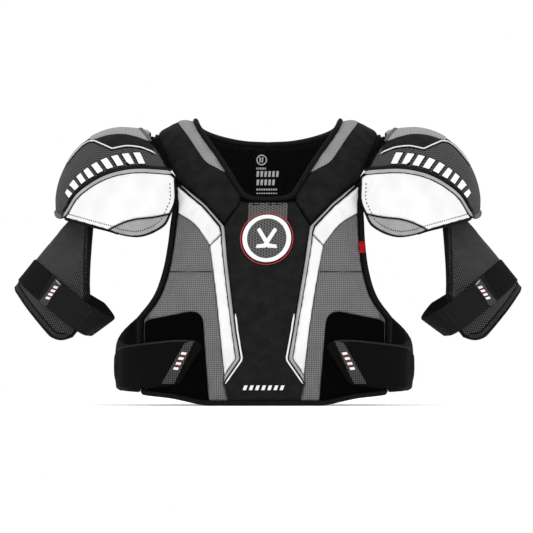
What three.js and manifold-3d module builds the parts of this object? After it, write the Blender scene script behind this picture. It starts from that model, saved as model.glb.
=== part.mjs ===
// Ice hockey shoulder pads: a vest of front and back panels joined by padded shoulder yokes, with
// two hinged shoulder caps, two hinged upper-arm guards, and hook-and-loop straps at waist and arms.
// Units are millimetres. +Z is up, the chest faces -Y, and the wearer's left side is +X.
// The origin is on the floor plane, under the middle of the vest's hem.
import * as THREE from "three";
import { mergeVertices } from "three/addons/utils/BufferGeometryUtils.js";
import Module from "manifold-3d";

const wasm = await Module();
wasm.setup();

// ---------- driving dimensions ----------
const WAIST_HALF_WIDTH = 197;
const CHEST_HALF_WIDTH = 188;
const BELLY_DEPTH = 116; // from the side seam plane to the front wall
const COLLAR_DEPTH = 90;
const LOIN_DEPTH = 104; // from the side seam plane to the back wall
const BLADE_DEPTH = 114;
const NECK_RIDGE = 409; // height of the shoulder ridge line at the middle, before padding
const RIDGE_FALL = 0.00166; // how fast the ridge falls towards the shoulder points, per mm
const SHOULDER_ROLL = 110; // radius of the walls where they roll over the shoulder
const GAP = 0.3; // half of the clearance between neighbouring pieces
const BINDING_WIDTH = 7;
const THETA_STEP = 9; // degrees between the columns of the body's mesh
const REACH = 400; // half length of a cutting prism

// Layers of the vest, as distances outward from the wearer's body.
const LINER = [0, 2];
const PLATE = [2.8, 5];
const FOAM = [5.8, 13];
const COVER = [13.8, 16];
const FULL = [0, 16.6]; // bindings wrap the whole thickness
const YOKE = [0, 17.4];
const YOKE_TOP = [18, 19.4];

// Shoulder cap: a dome of rounded-box section, cut to an outline. Layers are measured from its skin.
const CAP = { x: 200, z: 265, outer: 101, inner: 150, depth: 112, height: 124, power: 2.2 };
const CAP_COVER = [-2, 0];
const CAP_SHELL = [-5.6, -2.6];
const CAP_FOAM = [-12, -6.2];

// Upper-arm guard: a tube sector round an arm that leans out from the body.
const ARM_CENTRE = [287, 149];
const ARM_LEAN = 38.8; // degrees outward from vertical
const ARM_RADIUS = 68.5; // across the arm, to the guard's skin
const ARM_FLATTEN = 0.86; // the arm's front-to-back size over its width

// ---------- materials ----------
const material = (color, roughness, metalness = 0) =>
  new THREE.MeshStandardMaterial({ color, roughness, metalness });
const BLACK_FABRIC = material(0x17181a, 0.9);
const LINING = material(0x0d0d0e, 0.95);
const GREY_MESH = material(0x77787a, 0.85);
const LIGHT_MESH = material(0x9a9b9d, 0.85);
const DARK_MESH = material(0x4a4b4d, 0.85);
const WHITE_SKIN = material(0xf2f2f3, 0.45);
const SILVER_TRIM = material(0xb9babc, 0.5);
const BINDING = material(0x1c1c1e, 0.8);
const LOOP_PILE = material(0x0a0a0b, 1);
const ELASTIC = material(0x1e1f21, 0.85);
const WOVEN_TAB = material(0x4d4e50, 0.8);
const FOAM_CORE = material(0x3a3b3d, 0.95);
const MOULDED_PLASTIC = material(0x26272a, 0.4);
const BADGE_WHITE = material(0xf5f5f5, 0.4);
const RED_TAG = material(0xc8102e, 0.6);

// ---------- solids ----------
function solidOf(geometry) {
  const plain = geometry.index ? geometry.clone() : geometry;
  plain.deleteAttribute("normal");
  plain.deleteAttribute("uv");
  const merged = mergeVertices(plain, 1e-4);
  const vertProperties = new Float32Array(merged.attributes.position.array);
  const corners = Array.from(merged.index.array);
  const triangles = Array.from({ length: corners.length / 3 }, (_, k) => corners.slice(3 * k, 3 * k + 3));
  const sound = triangles.filter(([a, b, c]) => a !== b && b !== c && c !== a);
  const triVerts = new Uint32Array(sound.flat());
  return new wasm.Manifold(new wasm.Mesh({ numProp: 3, vertProperties, triVerts }));
}

function geometryOf(solid) {
  const mesh = solid.getMesh();
  const geometry = new THREE.BufferGeometry();
  geometry.setAttribute("position", new THREE.BufferAttribute(mesh.vertProperties, 3));
  geometry.setIndex(new THREE.BufferAttribute(mesh.triVerts, 1));
  return geometry;
}

// A closed slab between two offsets of a surface. surface(u, v) returns a point, and the slab's
// outward side is where u crossed with v points. normalAt is optional; without it the normals come
// from the points' neighbours.
function slab(surface, us, vs, [low, high], normalAt = null, closed = false) {
  const columns = us.length;
  const rows = vs.length;
  const points = us.map((u) => vs.map((v) => surface(u, v)));
  const step = (i, j) => points[i][j];
  const normal = (i, j) => {
    if (normalAt) return normalAt(points[i][j]);
    const along = step(Math.min(i + 1, columns - 1), j).clone().sub(step(Math.max(i - 1, 0), j));
    const up = step(i, Math.min(j + 1, rows - 1)).clone().sub(step(i, Math.max(j - 1, 0)));
    return along.cross(up).normalize();
  };
  const position = [];
  for (const offset of [low, high])
    for (let i = 0; i < columns; i++)
      for (let j = 0; j < rows; j++) {
        const at = points[i][j].clone().addScaledVector(normal(i, j), offset);
        position.push(at.x, at.y, at.z);
      }
  const inner = (i, j) => (i % columns) * rows + j;
  const outer = (i, j) => columns * rows + inner(i, j);
  const index = [];
  const quad = (a, b, c, d) => index.push(a, b, c, a, c, d);
  const spans = closed ? columns : columns - 1;
  for (let i = 0; i < spans; i++) {
    for (let j = 0; j < rows - 1; j++) {
      quad(outer(i, j), outer(i + 1, j), outer(i + 1, j + 1), outer(i, j + 1));
      quad(inner(i, j), inner(i, j + 1), inner(i + 1, j + 1), inner(i + 1, j));
    }
    quad(inner(i, 0), inner(i + 1, 0), outer(i + 1, 0), outer(i, 0));
    if (!closed) quad(outer(i, rows - 1), outer(i + 1, rows - 1), inner(i + 1, rows - 1), inner(i, rows - 1));
  }
  if (!closed)
    for (let j = 0; j < rows - 1; j++) {
      quad(outer(0, j), outer(0, j + 1), inner(0, j + 1), inner(0, j));
      const last = columns - 1;
      quad(outer(last, j + 1), outer(last, j), inner(last, j), inner(last, j + 1));
    }
  const geometry = new THREE.BufferGeometry();
  geometry.setAttribute("position", new THREE.Float32BufferAttribute(position, 3));
  geometry.setIndex(index);
  return solidOf(geometry);
}

// A prism along Y whose section is an outline of [x, z] points.
function prism(outline, front = -REACH, back = REACH) {
  const shape = new THREE.Shape(outline.map(([x, z]) => new THREE.Vector2(x, z)));
  const geometry = new THREE.ExtrudeGeometry(shape, { depth: back - front, bevelEnabled: false });
  geometry.rotateX(Math.PI / 2);
  geometry.translate(0, back, 0);
  return solidOf(geometry);
}

// ---------- outlines, as [x, z] points seen from the front ----------
const mirrored = (path) => path.map(([x, z]) => [-x, z]);
const bothSides = (path) => [...path, ...mirrored(path).reverse()];

// A path moved sideways: a positive distance is to the left of its direction.
function moved(path, distance) {
  return path.map(([x, z], k) => {
    const [x0, z0] = path[Math.max(k - 1, 0)];
    const [x1, z1] = path[Math.min(k + 1, path.length - 1)];
    const before = new THREE.Vector2(x - x0, z - z0).normalize();
    const after = new THREE.Vector2(x1 - x, z1 - z).normalize();
    const along = before.clone().add(after).normalize();
    const ahead = after.lengthSq() ? after : before;
    const stretch = 1 / Math.max(0.5, along.dot(ahead));
    return [x - along.y * distance * stretch, z + along.x * distance * stretch];
  });
}

const acrossMiddle = (path) => [...path, ...mirrored(path).reverse().slice(1)];
const ribbon = (path, width) => [...path, ...moved(path, width).reverse()];
const leftOf = (path) => moved(path, GAP);
const rightOf = (path) => moved(path, -GAP);

const circle = (x, z, radius, steps) =>
  Array.from({ length: steps }, (_, k) => {
    const angle = (2 * Math.PI * k) / steps;
    return [x + radius * Math.cos(angle), z + radius * Math.sin(angle)];
  });

// Vest edges on the wearer's left side, from top to bottom.
const NECK_FRONT = [[101, 440], [101, 409], [93, 392], [66, 353], [33, 301], [24, 296.5], [0, 294.7]];
const NECK_BACK = [[101, 440], [101, 409], [93, 392], [72, 382], [35, 374], [0, 372]];
const YOKE_FRONT_EDGE = [[40, 296], [38, 288], [62, 254], [90, 286], [133, 322]];
const YOKE_SIDE_EDGE = [[133, 322], [143, 343], [153, 366], [159, 388], [160, 440]];
const YOKE_BACK_EDGE = [[80, 376.5], [92, 350], [133, 334]];
const ARMHOLE = [[132, 312], [131, 300], [135, 264], [138, 227], [144, 189], [155.5, 155], [177, 125]];
const SIDE_EDGE = [[177, 125], [177, 60], [174, 16.5]];
const FRONT_HEM = [[174, 16.5], [130, 9.5], [106, 4.5], [86, 0], [0, 0]];

// Seams of the chest, from top to bottom.
const TRIM_INNER = [[62, 254], [59.5, 246], [55.2, 206], [36.5, 77], [34.8, 66], [57.5, 33]];
const TRIM_OUTER = [[67.5, 254], [64.2, 243], [61.2, 206], [52.6, 149], [40.6, 66.5], [56.5, 43]];
const WHITE_OUTER = [[129, 273], [107, 260], [95.5, 248], [80.5, 226.5], [72.6, 177], [66.3, 131], [56.5, 43]];
const WHITE_SPLIT = [[64.2, 243], [80.5, 226.5]];
const LOOP_EDGE = [[167, 121], [106, 133], [97, 131.5], [90, 126], [87, 116], [78.7, 8]];

// ---------- the vest's body form ----------
const mix = THREE.MathUtils.lerp;
const smooth = THREE.MathUtils.smoothstep;
const radians = THREE.MathUtils.degToRad;
const halfWidth = (z) => mix(WAIST_HALF_WIDTH, CHEST_HALF_WIDTH, smooth(z, 110, 258));
const frontDepth = (z) => mix(BELLY_DEPTH, COLLAR_DEPTH, smooth(z, 140, 310));
const backDepth = (z) => mix(LOIN_DEPTH, BLADE_DEPTH, smooth(z, 60, 220) - smooth(z, 240, 400));
const wallTop = (theta) => NECK_RIDGE - RIDGE_FALL * (CHEST_HALF_WIDTH * Math.sin(radians(theta))) ** 2
  - SHOULDER_ROLL;

// theta goes round the body in degrees: 0 at the breastbone, 90 at the left side, 180 at the spine.
// rise is 0 at the hem, 1 where the wall starts to roll over the shoulder, 2 at the ridge.
function bodyPoint(theta, rise) {
  const roll = (Math.max(rise - 1, 0) * Math.PI) / 2;
  const z = Math.min(rise, 1) * wallTop(theta) + SHOULDER_ROLL * Math.sin(roll);
  const across = Math.sin(radians(theta));
  const ahead = Math.cos(radians(theta)) * Math.cos(roll);
  return new THREE.Vector3(halfWidth(z) * across, -ahead * (ahead < 0 ? backDepth(z) : frontDepth(z)), z);
}

const range = (from, to, steps) => Array.from({ length: steps + 1 }, (_, k) => mix(from, to, k / steps));
const around = (from, to) => range(from, to, Math.round((to - from) / THETA_STEP));
const WALL_RISES = [...range(0, 1, 6), ...range(1, 2, 5).slice(1)];
const frontPiece = (layer, outline) =>
  slab(bodyPoint, around(-72, 72), WALL_RISES, layer).intersect(prism(outline));
const backPiece = (layer, outline) =>
  slab(bodyPoint, around(108, 252), WALL_RISES, layer).intersect(prism(outline));

// A yoke rolls over the ridge: its columns are set by x, and its rows run from the chest to the back.
const YOKE_ROWS = [...range(0.55, 1, 2), ...range(1, 2, 5).slice(1)];
const YOKE_PATH = [...YOKE_ROWS, ...YOKE_ROWS.slice(0, -1).reverse().map((rise) => -rise)];
function yokePiece(layer, [fromX, toX, steps], frontOutline, backOutline) {
  const point = (x, rise) => {
    const theta = THREE.MathUtils.radToDeg(Math.asin(x / CHEST_HALF_WIDTH));
    return bodyPoint(rise > 0 ? theta : 180 - theta, Math.abs(rise));
  };
  const cutter = prism(frontOutline, -REACH, 0.01).add(prism(backOutline, -0.01, REACH));
  return slab(point, range(fromX, toX, steps), YOKE_PATH, layer).intersect(cutter);
}

// A band round the body between two edges, each given as [theta, z] points in theta order.
function heightAt(edge, theta) {
  const k = Math.max(1, edge.findIndex(([t]) => t >= theta));
  const [[t0, z0], [t1, z1]] = [edge[k - 1], edge[k]];
  return mix(z0, z1, (theta - t0) / (t1 - t0));
}
function bodyBand(layer, thetas, lowEdge, highEdge, rows = 2) {
  const point = (theta, share) =>
    bodyPoint(theta, mix(heightAt(lowEdge, theta), heightAt(highEdge, theta), share) / wallTop(theta));
  return slab(point, thetas, range(0, 1, rows), layer);
}

// ---------- the scene ----------
const shoulderPads = new THREE.Group();
const leftSide = new THREE.Group();
const rightSide = new THREE.Group();
rightSide.scale.x = -1;
shoulderPads.add(leftSide, rightSide);

function add(name, solid, skin, parent = shoulderPads) {
  const mesh = new THREE.Mesh(geometryOf(solid), skin);
  mesh.name = name;
  parent.add(mesh);
}
function addPair(name, solid, skin) {
  add(`${name}_left`, solid, skin, leftSide);
  add(`${name}_right`, solid, skin, rightSide);
}

// ---------- front of the vest ----------
const CLEAR = 2 * GAP;
const vestEdge = [...ARMHOLE, ...SIDE_EDGE.slice(1), ...FRONT_HEM.slice(1)];
const insideEdge = moved(vestEdge, -(BINDING_WIDTH + CLEAR));
const neckline = moved(NECK_FRONT, BINDING_WIDTH + CLEAR);
const underYoke = moved(YOKE_FRONT_EDGE, -CLEAR);

function buildFront() {
  const core = bothSides([[0, neckline.at(-1)[1]], [26, 286], ...underYoke.slice(1, 4), [124, 313],
    ...insideEdge.slice(1, -1), [0, 7.6]]);
  add("front_liner", frontPiece(LINER, core), LINING);
  const plate = bothSides([[0, 278], [34, 270], [50, 240], [50, 150], [34, 60], [0, 52]]);
  add("sternum_plate", frontPiece(PLATE, plate), MOULDED_PLASTIC);
  add("front_foam_pad", frontPiece(FOAM, core), FOAM_CORE);

  const centre = [[0, neckline.at(-1)[1]], [26, 286], ...underYoke.slice(1, 2), ...moved(TRIM_INNER, -GAP),
    [51, 7.6], [0, 7.6]];
  add("center_panel", frontPiece(COVER, bothSides(centre)), BLACK_FABRIC);

  const trim = [[123, 312.5], ...moved(YOKE_FRONT_EDGE, -CLEAR).slice(3, 4), ...leftOf(TRIM_INNER),
    ...rightOf(TRIM_OUTER).slice(1).reverse(), [69, 254], [92.5, 280.5], [123, 306]];
  addPair("chest_trim", frontPiece(COVER, trim), SILVER_TRIM);
  const upperWhite = [[122.6, 305], [92.5, 279.5], [69, 252.5], ...leftOf(WHITE_SPLIT),
    ...rightOf(WHITE_OUTER).slice(1, 3).reverse(), [124, 271.5]];
  addPair("upper_chest_overlay", frontPiece(COVER, upperWhite), WHITE_SKIN);
  const lowerWhite = [...rightOf(WHITE_SPLIT).reverse(), ...leftOf(TRIM_OUTER).slice(2),
    ...rightOf(WHITE_OUTER).slice(4, -1).reverse()];
  addPair("lower_chest_overlay", frontPiece(COVER, lowerWhite), WHITE_SKIN);

  const meshPanel = [...leftOf(WHITE_OUTER).slice(1), [57.9, 33], [52, 7.6], [78, 7.6],
    ...rightOf(LOOP_EDGE).slice(0, 5).reverse(), ...insideEdge.slice(2, 6).reverse(), [125, 270]];
  addPair("chest_mesh_panel", frontPiece(COVER, meshPanel), GREY_MESH);
  const loopPatch = [...leftOf(LOOP_EDGE), ...insideEdge.slice(7, 11).reverse()];
  addPair("waist_loop_patch", frontPiece(COVER, loopPatch), LOOP_PILE);

  add("front_hem_binding", frontPiece(FULL, ribbon(acrossMiddle(FRONT_HEM), -BINDING_WIDTH)), BINDING);
  const side = [...ARMHOLE, ...SIDE_EDGE.slice(1, -1), [175, 25]];
  addPair("armhole_binding", frontPiece(FULL, ribbon(side, -BINDING_WIDTH)), BINDING);

  const sheet = (layer) => slab(bodyPoint, around(-27, 27), WALL_RISES.slice(3, 9), layer);
  const disc = prism(circle(0, 235.9, 28, 32));
  const window = prism(bothSides([[0, 286.5], [28, 286.5], [28, 240], [0, 240]]));
  add("center_mesh_inset", sheet([16.6, 17.6]).intersect(disc.add(window)), DARK_MESH);
  const ring = prism(circle(0, 235.9, 34, 36)).subtract(disc);
  add("badge_ring", sheet([18.2, 19.8]).intersect(ring), BADGE_WHITE);
}

// ---------- neck and yokes ----------
function buildYokes() {
  const neckFront = ribbon(acrossMiddle(NECK_FRONT), BINDING_WIDTH);
  const neckBack = ribbon(acrossMiddle(NECK_BACK), BINDING_WIDTH);
  add("neck_binding", yokePiece(YOKE, [-112, 112, 12], neckFront, neckBack), BINDING);

  const columns = [30, 168, 8];
  const sideEdge = moved(YOKE_SIDE_EDGE, GAP);
  const front = [...neckline.slice(0, 5), ...leftOf(YOKE_FRONT_EDGE).slice(1), ...sideEdge.slice(1)];
  const backNeck = moved(NECK_BACK, BINDING_WIDTH + CLEAR);
  const back = [...backNeck.slice(0, 3), ...leftOf(YOKE_BACK_EDGE), ...sideEdge.slice(1)];
  addPair("yoke_pad", yokePiece(YOKE, columns, front, back), BLACK_FABRIC);
  const stripInner = moved(NECK_FRONT, BINDING_WIDTH + 3 * GAP).slice(0, 4);
  const strip = [...stripInner, [64.5, 332], [88, 345], [98, 358], [114, 382], [128, 398], [128, 440]];
  const stripBack = [[109.5, 440], [109.5, 404], [92, 389], [98, 380], [120, 396], [128, 402], [128, 440]];
  addPair("yoke_mesh_strip", yokePiece(YOKE_TOP, [56, 132, 6], strip, stripBack), LIGHT_MESH);
  const bridge = [[136, 340], [147, 340], [158, 366], [163, 388], [163, 440], [136, 440]];
  addPair("cap_bridge_strap", yokePiece(YOKE_TOP, [132, 168, 3], bridge, bridge), ELASTIC);
}

// ---------- back of the vest ----------
const BACK_ARMHOLE = [[131, 333], [129, 300], [132, 264], [136, 227], [142, 189], [152, 158], [173, 131]];
const BACK_HEM = [[173, 20], [112, 6], [90, 0], [0, 0]];
const SIDE_STRAP_LOW = [[25, 82], [35, 30], [48, 25], [68, 25], [79, 29], [90, 45]];
const SIDE_STRAP_HIGH = [[25, 86], [28, 94], [37, 94], [70, 84.5], [80, 79], [90, 63]];
const WING_LOW = [[60, 24], [76, 20.5], [85, 20], [92, 21], [104, 19], [119, 17]];
const WING_HIGH = [[60, 82], [90, 92], [100, 103], [112, 118], [119, 128]];

function buildBack() {
  const insideBack = moved([...BACK_ARMHOLE, ...BACK_HEM], -(BINDING_WIDTH + CLEAR));
  const belowNeck = moved(NECK_BACK, BINDING_WIDTH + CLEAR).slice(-3).reverse();
  const belowYoke = moved(YOKE_BACK_EDGE, -CLEAR);
  const core = bothSides([...belowNeck, ...belowYoke.slice(0, 2), [122, 337], ...insideBack.slice(1)]);
  add("back_liner", backPiece(LINER, core), LINING);
  const plate = bothSides([[0, 340], [30, 335], [44, 250], [34, 60], [0, 52]]);
  add("spine_plate", backPiece(PLATE, plate), MOULDED_PLASTIC);
  add("back_foam_pad", backPiece(FOAM, core), FOAM_CORE);
  add("back_cover", backPiece(COVER, core), BLACK_FABRIC);
  const edge = acrossMiddle([...BACK_ARMHOLE, ...BACK_HEM]);
  add("back_binding", backPiece(FULL, ribbon(edge, -BINDING_WIDTH)), BINDING);
  const wing = bodyBand([1, 15.4], range(68, 118, 6), WING_LOW, WING_HIGH, 2);
  addPair("side_wing", wing, BLACK_FABRIC);
}

// ---------- side straps, which close the back's wings over the loop patches ----------
function buildSideStraps() {
  const strap = bodyBand([17.4, 19.4], [25, 28, ...range(35, 90, 7)], SIDE_STRAP_LOW, SIDE_STRAP_HIGH);
  addPair("side_strap", strap, ELASTIC);
  const tab = [[98.5, 92.5], [112.5, 89.5], [145.5, 31], [127, 31]];
  const outside = slab(bodyPoint, range(22, 58, 6), range(0, 0.6, 4), [20, 21.4]);
  addPair("side_strap_tab", outside.intersect(prism(tab)), WOVEN_TAB);
  const tag = slab(bodyPoint, range(36, 56, 4), range(0.5, 1, 3), [17.2, 18.4]);
  add("red_tag", tag.intersect(prism([[130, 232], [139.5, 232], [139, 216], [132, 216]])), RED_TAG, leftSide);
}

// ---------- shoulder caps ----------
const CAP_EDGE = [[168, 440], [168, 372], [155, 359], [142, 336], [132, 325], [131, 297], [133, 284],
  [139, 271], [146, 257], [160, 247], [175, 241], [189, 239], [209, 242], [226, 248], [287, 265],
  [320, 262], [320, 440]];
const CAP_TRIM_LINE = [[320, 274], [303, 273], [289, 269], [283, 277], [270, 297], [248, 314], [226, 325],
  [203, 331], [180, 333], [146, 331], [120, 331]];
const CAP_LENS_LINE = [[226, 248], [209, 256.5], [189, 263], [160, 266.5], [139, 271], [120, 272]];

function capPoint(azimuth, elevation) {
  const up = radians(elevation);
  const way = new THREE.Vector3(Math.cos(up) * Math.cos(radians(azimuth)),
    Math.cos(up) * Math.sin(radians(azimuth)), Math.sin(up));
  if (elevation === 90) way.set(0, 0, 1);
  const half = [way.x > 0 ? CAP.outer : CAP.inner, CAP.depth, CAP.height];
  const size = way.toArray().reduce((sum, c, k) => sum + Math.abs(c / half[k]) ** CAP.power, 0);
  return way.multiplyScalar(size ** (-1 / CAP.power)).add(new THREE.Vector3(CAP.x, 0, CAP.z));
}
function capNormal(point) {
  const [x, y, z] = [point.x - CAP.x, point.y, point.z - CAP.z];
  const half = [x > 0 ? CAP.outer : CAP.inner, CAP.depth, CAP.height];
  const slope = [x, y, z].map((c, k) => (Math.sign(c) * Math.abs(c / half[k]) ** (CAP.power - 1)) / half[k]);
  return new THREE.Vector3(...slope).normalize();
}
const CAP_AZIMUTHS = range(0, 342, 19);
const CAP_ELEVATIONS = [-24, -6, 12, 30, 48, 68, 90];
const capSheet = (layer) => slab(capPoint, CAP_AZIMUTHS, CAP_ELEVATIONS, layer, capNormal, true);
const capPiece = (layer, outline, front = -REACH, back = REACH) =>
  capSheet(layer).intersect(prism(outline, front, back));

function buildCaps() {
  const inset = moved(CAP_EDGE, 2.5);
  addPair("cap_foam", capPiece(CAP_FOAM, inset), FOAM_CORE);
  addPair("cap_shell", capPiece(CAP_SHELL, inset), MOULDED_PLASTIC);
  const above = [...moved(CAP_TRIM_LINE, -1.8), [120, 440], [320, 440]];
  const wholeBack = prism(CAP_EDGE, 0, REACH).add(prism(above, -REACH, 0.01));
  addPair("cap_cover", capSheet(CAP_COVER).intersect(prism(CAP_EDGE)).intersect(wholeBack), DARK_MESH);
  const frontOnly = [-REACH, -GAP];
  const trim = ribbon(moved(CAP_TRIM_LINE, -1.5), 3);
  addPair("cap_trim", capPiece(CAP_COVER, trim, ...frontOnly).intersect(prism(CAP_EDGE)), SILVER_TRIM);
  const panel = [...moved(CAP_TRIM_LINE, 1.8), [120, 200], [320, 200]];
  const belowLens = [...CAP_LENS_LINE, [120, 200], [226, 200]];
  const faced = capPiece(CAP_COVER, panel, ...frontOnly).intersect(prism(CAP_EDGE));
  addPair("cap_panel", faced.subtract(prism(belowLens)), WHITE_SKIN);
  const lens = [...moved(CAP_LENS_LINE, 0.6), [120, 200], [226, 200]];
  addPair("cap_lens", faced.intersect(prism(lens)), SILVER_TRIM);
}

// ---------- upper-arm guards ----------
const ACROSS = new THREE.Vector3(Math.cos(radians(ARM_LEAN)), 0, Math.sin(radians(ARM_LEAN)));
const ALONG = new THREE.Vector3(-ACROSS.z, 0, ACROSS.x);

// turn goes round the arm in degrees: 0 in front, 90 outermost. up runs along the arm to the shoulder.
function armPoint(turn, up) {
  const at = new THREE.Vector3(ARM_CENTRE[0], 0, ARM_CENTRE[1]).addScaledVector(ALONG, up);
  at.addScaledVector(ACROSS, ARM_RADIUS * Math.sin(radians(turn)));
  at.y = -ARM_RADIUS * ARM_FLATTEN * Math.cos(radians(turn));
  return at;
}
function armBand(layer, turns, lowEdge, highEdge, rows = 1) {
  const point = (turn, share) => armPoint(turn, mix(heightAt(lowEdge, turn), heightAt(highEdge, turn), share));
  return slab(point, turns, range(0, 1, rows), layer);
}

const GUARD_LOW = [[-37, -34], [-22, -49], [-9, -51], [52, -37], [66, -34], [90, -30], [150, -26]];
const GUARD_HIGH = [[-37, -25], [-20, 23.6], [0, 52.7], [42, 109.5], [52, 114], [60, 114], [90, 100],
  [150, 58]];
const STRAP_LOW = [[-214, -25], [-90, -17], [-30, -25], [104, -22]];
const STRAP_HIGH = [[-214, 17], [-90, 22], [-20, 16], [104, 18]];
const TAB_LOW = [[12.5, -24], [24, -25]];
const TAB_HIGH = [[12.5, 15], [24, 16.5]];

function buildArms() {
  const guard = armBand([-13, 0], range(-37, 150, 13), GUARD_LOW, GUARD_HIGH, 3);
  addPair("arm_guard_pad", guard, DARK_MESH);
  addPair("arm_loop_patch", armBand([0.6, 2.2], range(8, 104, 8), STRAP_LOW, STRAP_HIGH), LOOP_PILE);
  addPair("arm_strap", armBand([2.8, 4.8], range(-31, 29, 6), STRAP_LOW, STRAP_HIGH), ELASTIC);
  const back = [...range(-214, -90, 10), ...range(-90, -32, 5).slice(1)];
  addPair("arm_strap_return", armBand([0.8, 2.6], back, STRAP_LOW, STRAP_HIGH), ELASTIC);
  addPair("arm_strap_tab", armBand([5.4, 6.6], range(12.5, 24, 2), TAB_LOW, TAB_HIGH), WOVEN_TAB);
}

buildFront();
buildYokes();
buildBack();
buildSideStraps();
buildCaps();
buildArms();

const box = new THREE.Box3().setFromObject(shoulderPads);
shoulderPads.position.y = -(box.min.y + box.max.y) / 2;

export default shoulderPads;
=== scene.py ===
"""Ice hockey shoulder pads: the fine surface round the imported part.

Lengths in this file are millimetres until a mesh is made. +Z is up, the chest faces -Y, and the
wearer's left side is +X. Every soft piece is drawn flat in a chart of the form that it lies on (the
body's wall, the yokes, a shoulder cap or an arm), then laid on that form at its own height. Only the
left-hand pieces are drawn: each right-hand one is its twin.
"""
import math

import bpy
import numpy as np
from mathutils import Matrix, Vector, geometry
from mathutils.bvhtree import BVHTree


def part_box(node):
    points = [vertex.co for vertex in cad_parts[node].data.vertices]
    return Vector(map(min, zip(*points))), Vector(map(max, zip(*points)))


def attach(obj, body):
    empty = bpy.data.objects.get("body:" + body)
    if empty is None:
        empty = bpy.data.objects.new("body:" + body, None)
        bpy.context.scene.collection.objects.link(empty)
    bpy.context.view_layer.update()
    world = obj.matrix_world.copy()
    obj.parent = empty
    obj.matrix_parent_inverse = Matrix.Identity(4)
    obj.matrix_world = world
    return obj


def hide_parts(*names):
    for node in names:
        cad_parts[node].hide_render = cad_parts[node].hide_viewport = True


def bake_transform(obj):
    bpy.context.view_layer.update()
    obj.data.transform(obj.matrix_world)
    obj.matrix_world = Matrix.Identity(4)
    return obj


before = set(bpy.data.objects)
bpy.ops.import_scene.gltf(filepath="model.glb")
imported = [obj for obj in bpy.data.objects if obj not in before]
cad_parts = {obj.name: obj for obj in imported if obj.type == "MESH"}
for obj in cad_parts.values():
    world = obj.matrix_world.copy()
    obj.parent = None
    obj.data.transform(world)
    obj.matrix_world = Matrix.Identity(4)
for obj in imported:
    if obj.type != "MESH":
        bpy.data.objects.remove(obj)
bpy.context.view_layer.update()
MM = 0.001


# ---------- the forms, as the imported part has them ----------
WAIST, CHEST = 197.0, 188.0
BELLY, COLLAR = 116.0, 90.0
LOIN, BLADE = 104.0, 114.0
RIDGE, FALL, ROLL = 409.0, 0.00166, 110.0
MIDDLE_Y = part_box("front_hem_binding")[0].y / MM + BELLY + 16.6
CAP_AT = (200.0, 265.0)
CAP_OUTER, CAP_INNER, CAP_DEPTH, CAP_HEIGHT, CAP_POWER = 101.0, 150.0, 112.0, 124.0, 2.2
ARM_AT, ARM_LEAN, ARM_RADIUS, ARM_FLATTEN = (287.0, 149.0), math.radians(38.8), 68.5, 0.86


def smoothstep(v, low, high):
    t = np.clip((v - low) / (high - low), 0, 1)
    return t * t * (3 - 2 * t)


def half_width(z):
    return WAIST + (CHEST - WAIST) * smoothstep(z, 110, 258)


def front_depth(z):
    return BELLY + (COLLAR - BELLY) * smoothstep(z, 140, 310)


def back_depth(z):
    return LOIN + (BLADE - LOIN) * (smoothstep(z, 60, 220) - smoothstep(z, 240, 400))


def wall_top(across):
    return RIDGE - FALL * (CHEST * across) ** 2 - ROLL


def body_at(across, ahead, z, lean):
    """A point of the body form. ahead is 1 at the breastbone and -1 at the spine; lean is 1 on the wall."""
    depth = np.where(ahead > 0, front_depth(z), back_depth(z))
    return np.stack([half_width(z) * across, MIDDLE_Y - ahead * lean * depth, z], 1)


class Chart:
    """A flat plane of (p, q) points in millimetres, and the form that it wraps."""

    def normal(self, pq):
        step = 0.5
        across = self.point(pq + [step, 0]) - self.point(pq - [step, 0])
        along = self.point(pq + [0, step]) - self.point(pq - [0, step])
        n = np.cross(across, along)
        return n / np.maximum(np.linalg.norm(n, axis=1), 1e-9)[:, None]

    def skin(self, pq, out):
        pq = np.asarray(pq, float)
        return self.point(pq) + self.normal(pq) * np.broadcast_to(out, len(pq))[:, None]

    def front(self, path, out=0.0):
        """Chart points that are seen from the front at the path's [x, z] points, at height out."""
        return self.seen(path, -1, out)

    def back(self, path, out=0.0):
        return self.seen(path, 1, out)

    def seen(self, path, sign, out):
        goal = np.asarray(path, float)
        guess = goal.copy()
        if out:
            for _ in range(10):
                guess += 0.7 * (goal - self.skin(self.side(guess, sign), out)[:, [0, 2]])
        return self.side(guess, sign)


class Wall(Chart):
    """p runs round the body at 160 mm to the radian, 0 at the breastbone; q is the height."""

    ARC = 160.0

    def point(self, pq):
        turn, z = pq[:, 0] / self.ARC, pq[:, 1]
        across = np.sin(turn)
        rise = np.clip((z - wall_top(across)) / ROLL, 0, 0.999)
        return body_at(across, np.cos(turn), z, np.sqrt(1 - rise**2))

    def side(self, path, sign):
        x, z = path.T
        p = np.arcsin(np.clip(x / half_width(z), -1, 1)) * self.ARC
        return np.stack([p if sign < 0 else math.pi * self.ARC - p, z], 1)

    def turned(self, path):
        turn, z = np.asarray(path, float).T
        return np.stack([np.radians(turn) * self.ARC, z], 1)


class Yoke(Chart):
    """p is x; q is the distance over the shoulder from the ridge, negative in front."""

    TOP = ROLL * math.pi / 2

    def point(self, pq):
        across, over = pq[:, 0] / CHEST, np.abs(pq[:, 1])
        roll = np.clip((self.TOP - over) / ROLL, 0, math.pi / 2)
        z = wall_top(across) + ROLL * np.sin(roll) - np.maximum(over - self.TOP, 0)
        ahead = np.sqrt(1 - across**2) * np.where(pq[:, 1] < 0, 1, -1)
        return body_at(across, ahead, z, np.cos(roll))

    def side(self, path, sign):
        x, z = path.T
        rise = z - wall_top(x / CHEST)
        roll = np.arcsin(np.clip(rise / ROLL, 0, 1))
        return np.stack([x, sign * (self.TOP - roll * ROLL + np.maximum(-rise, 0))], 1)


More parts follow.
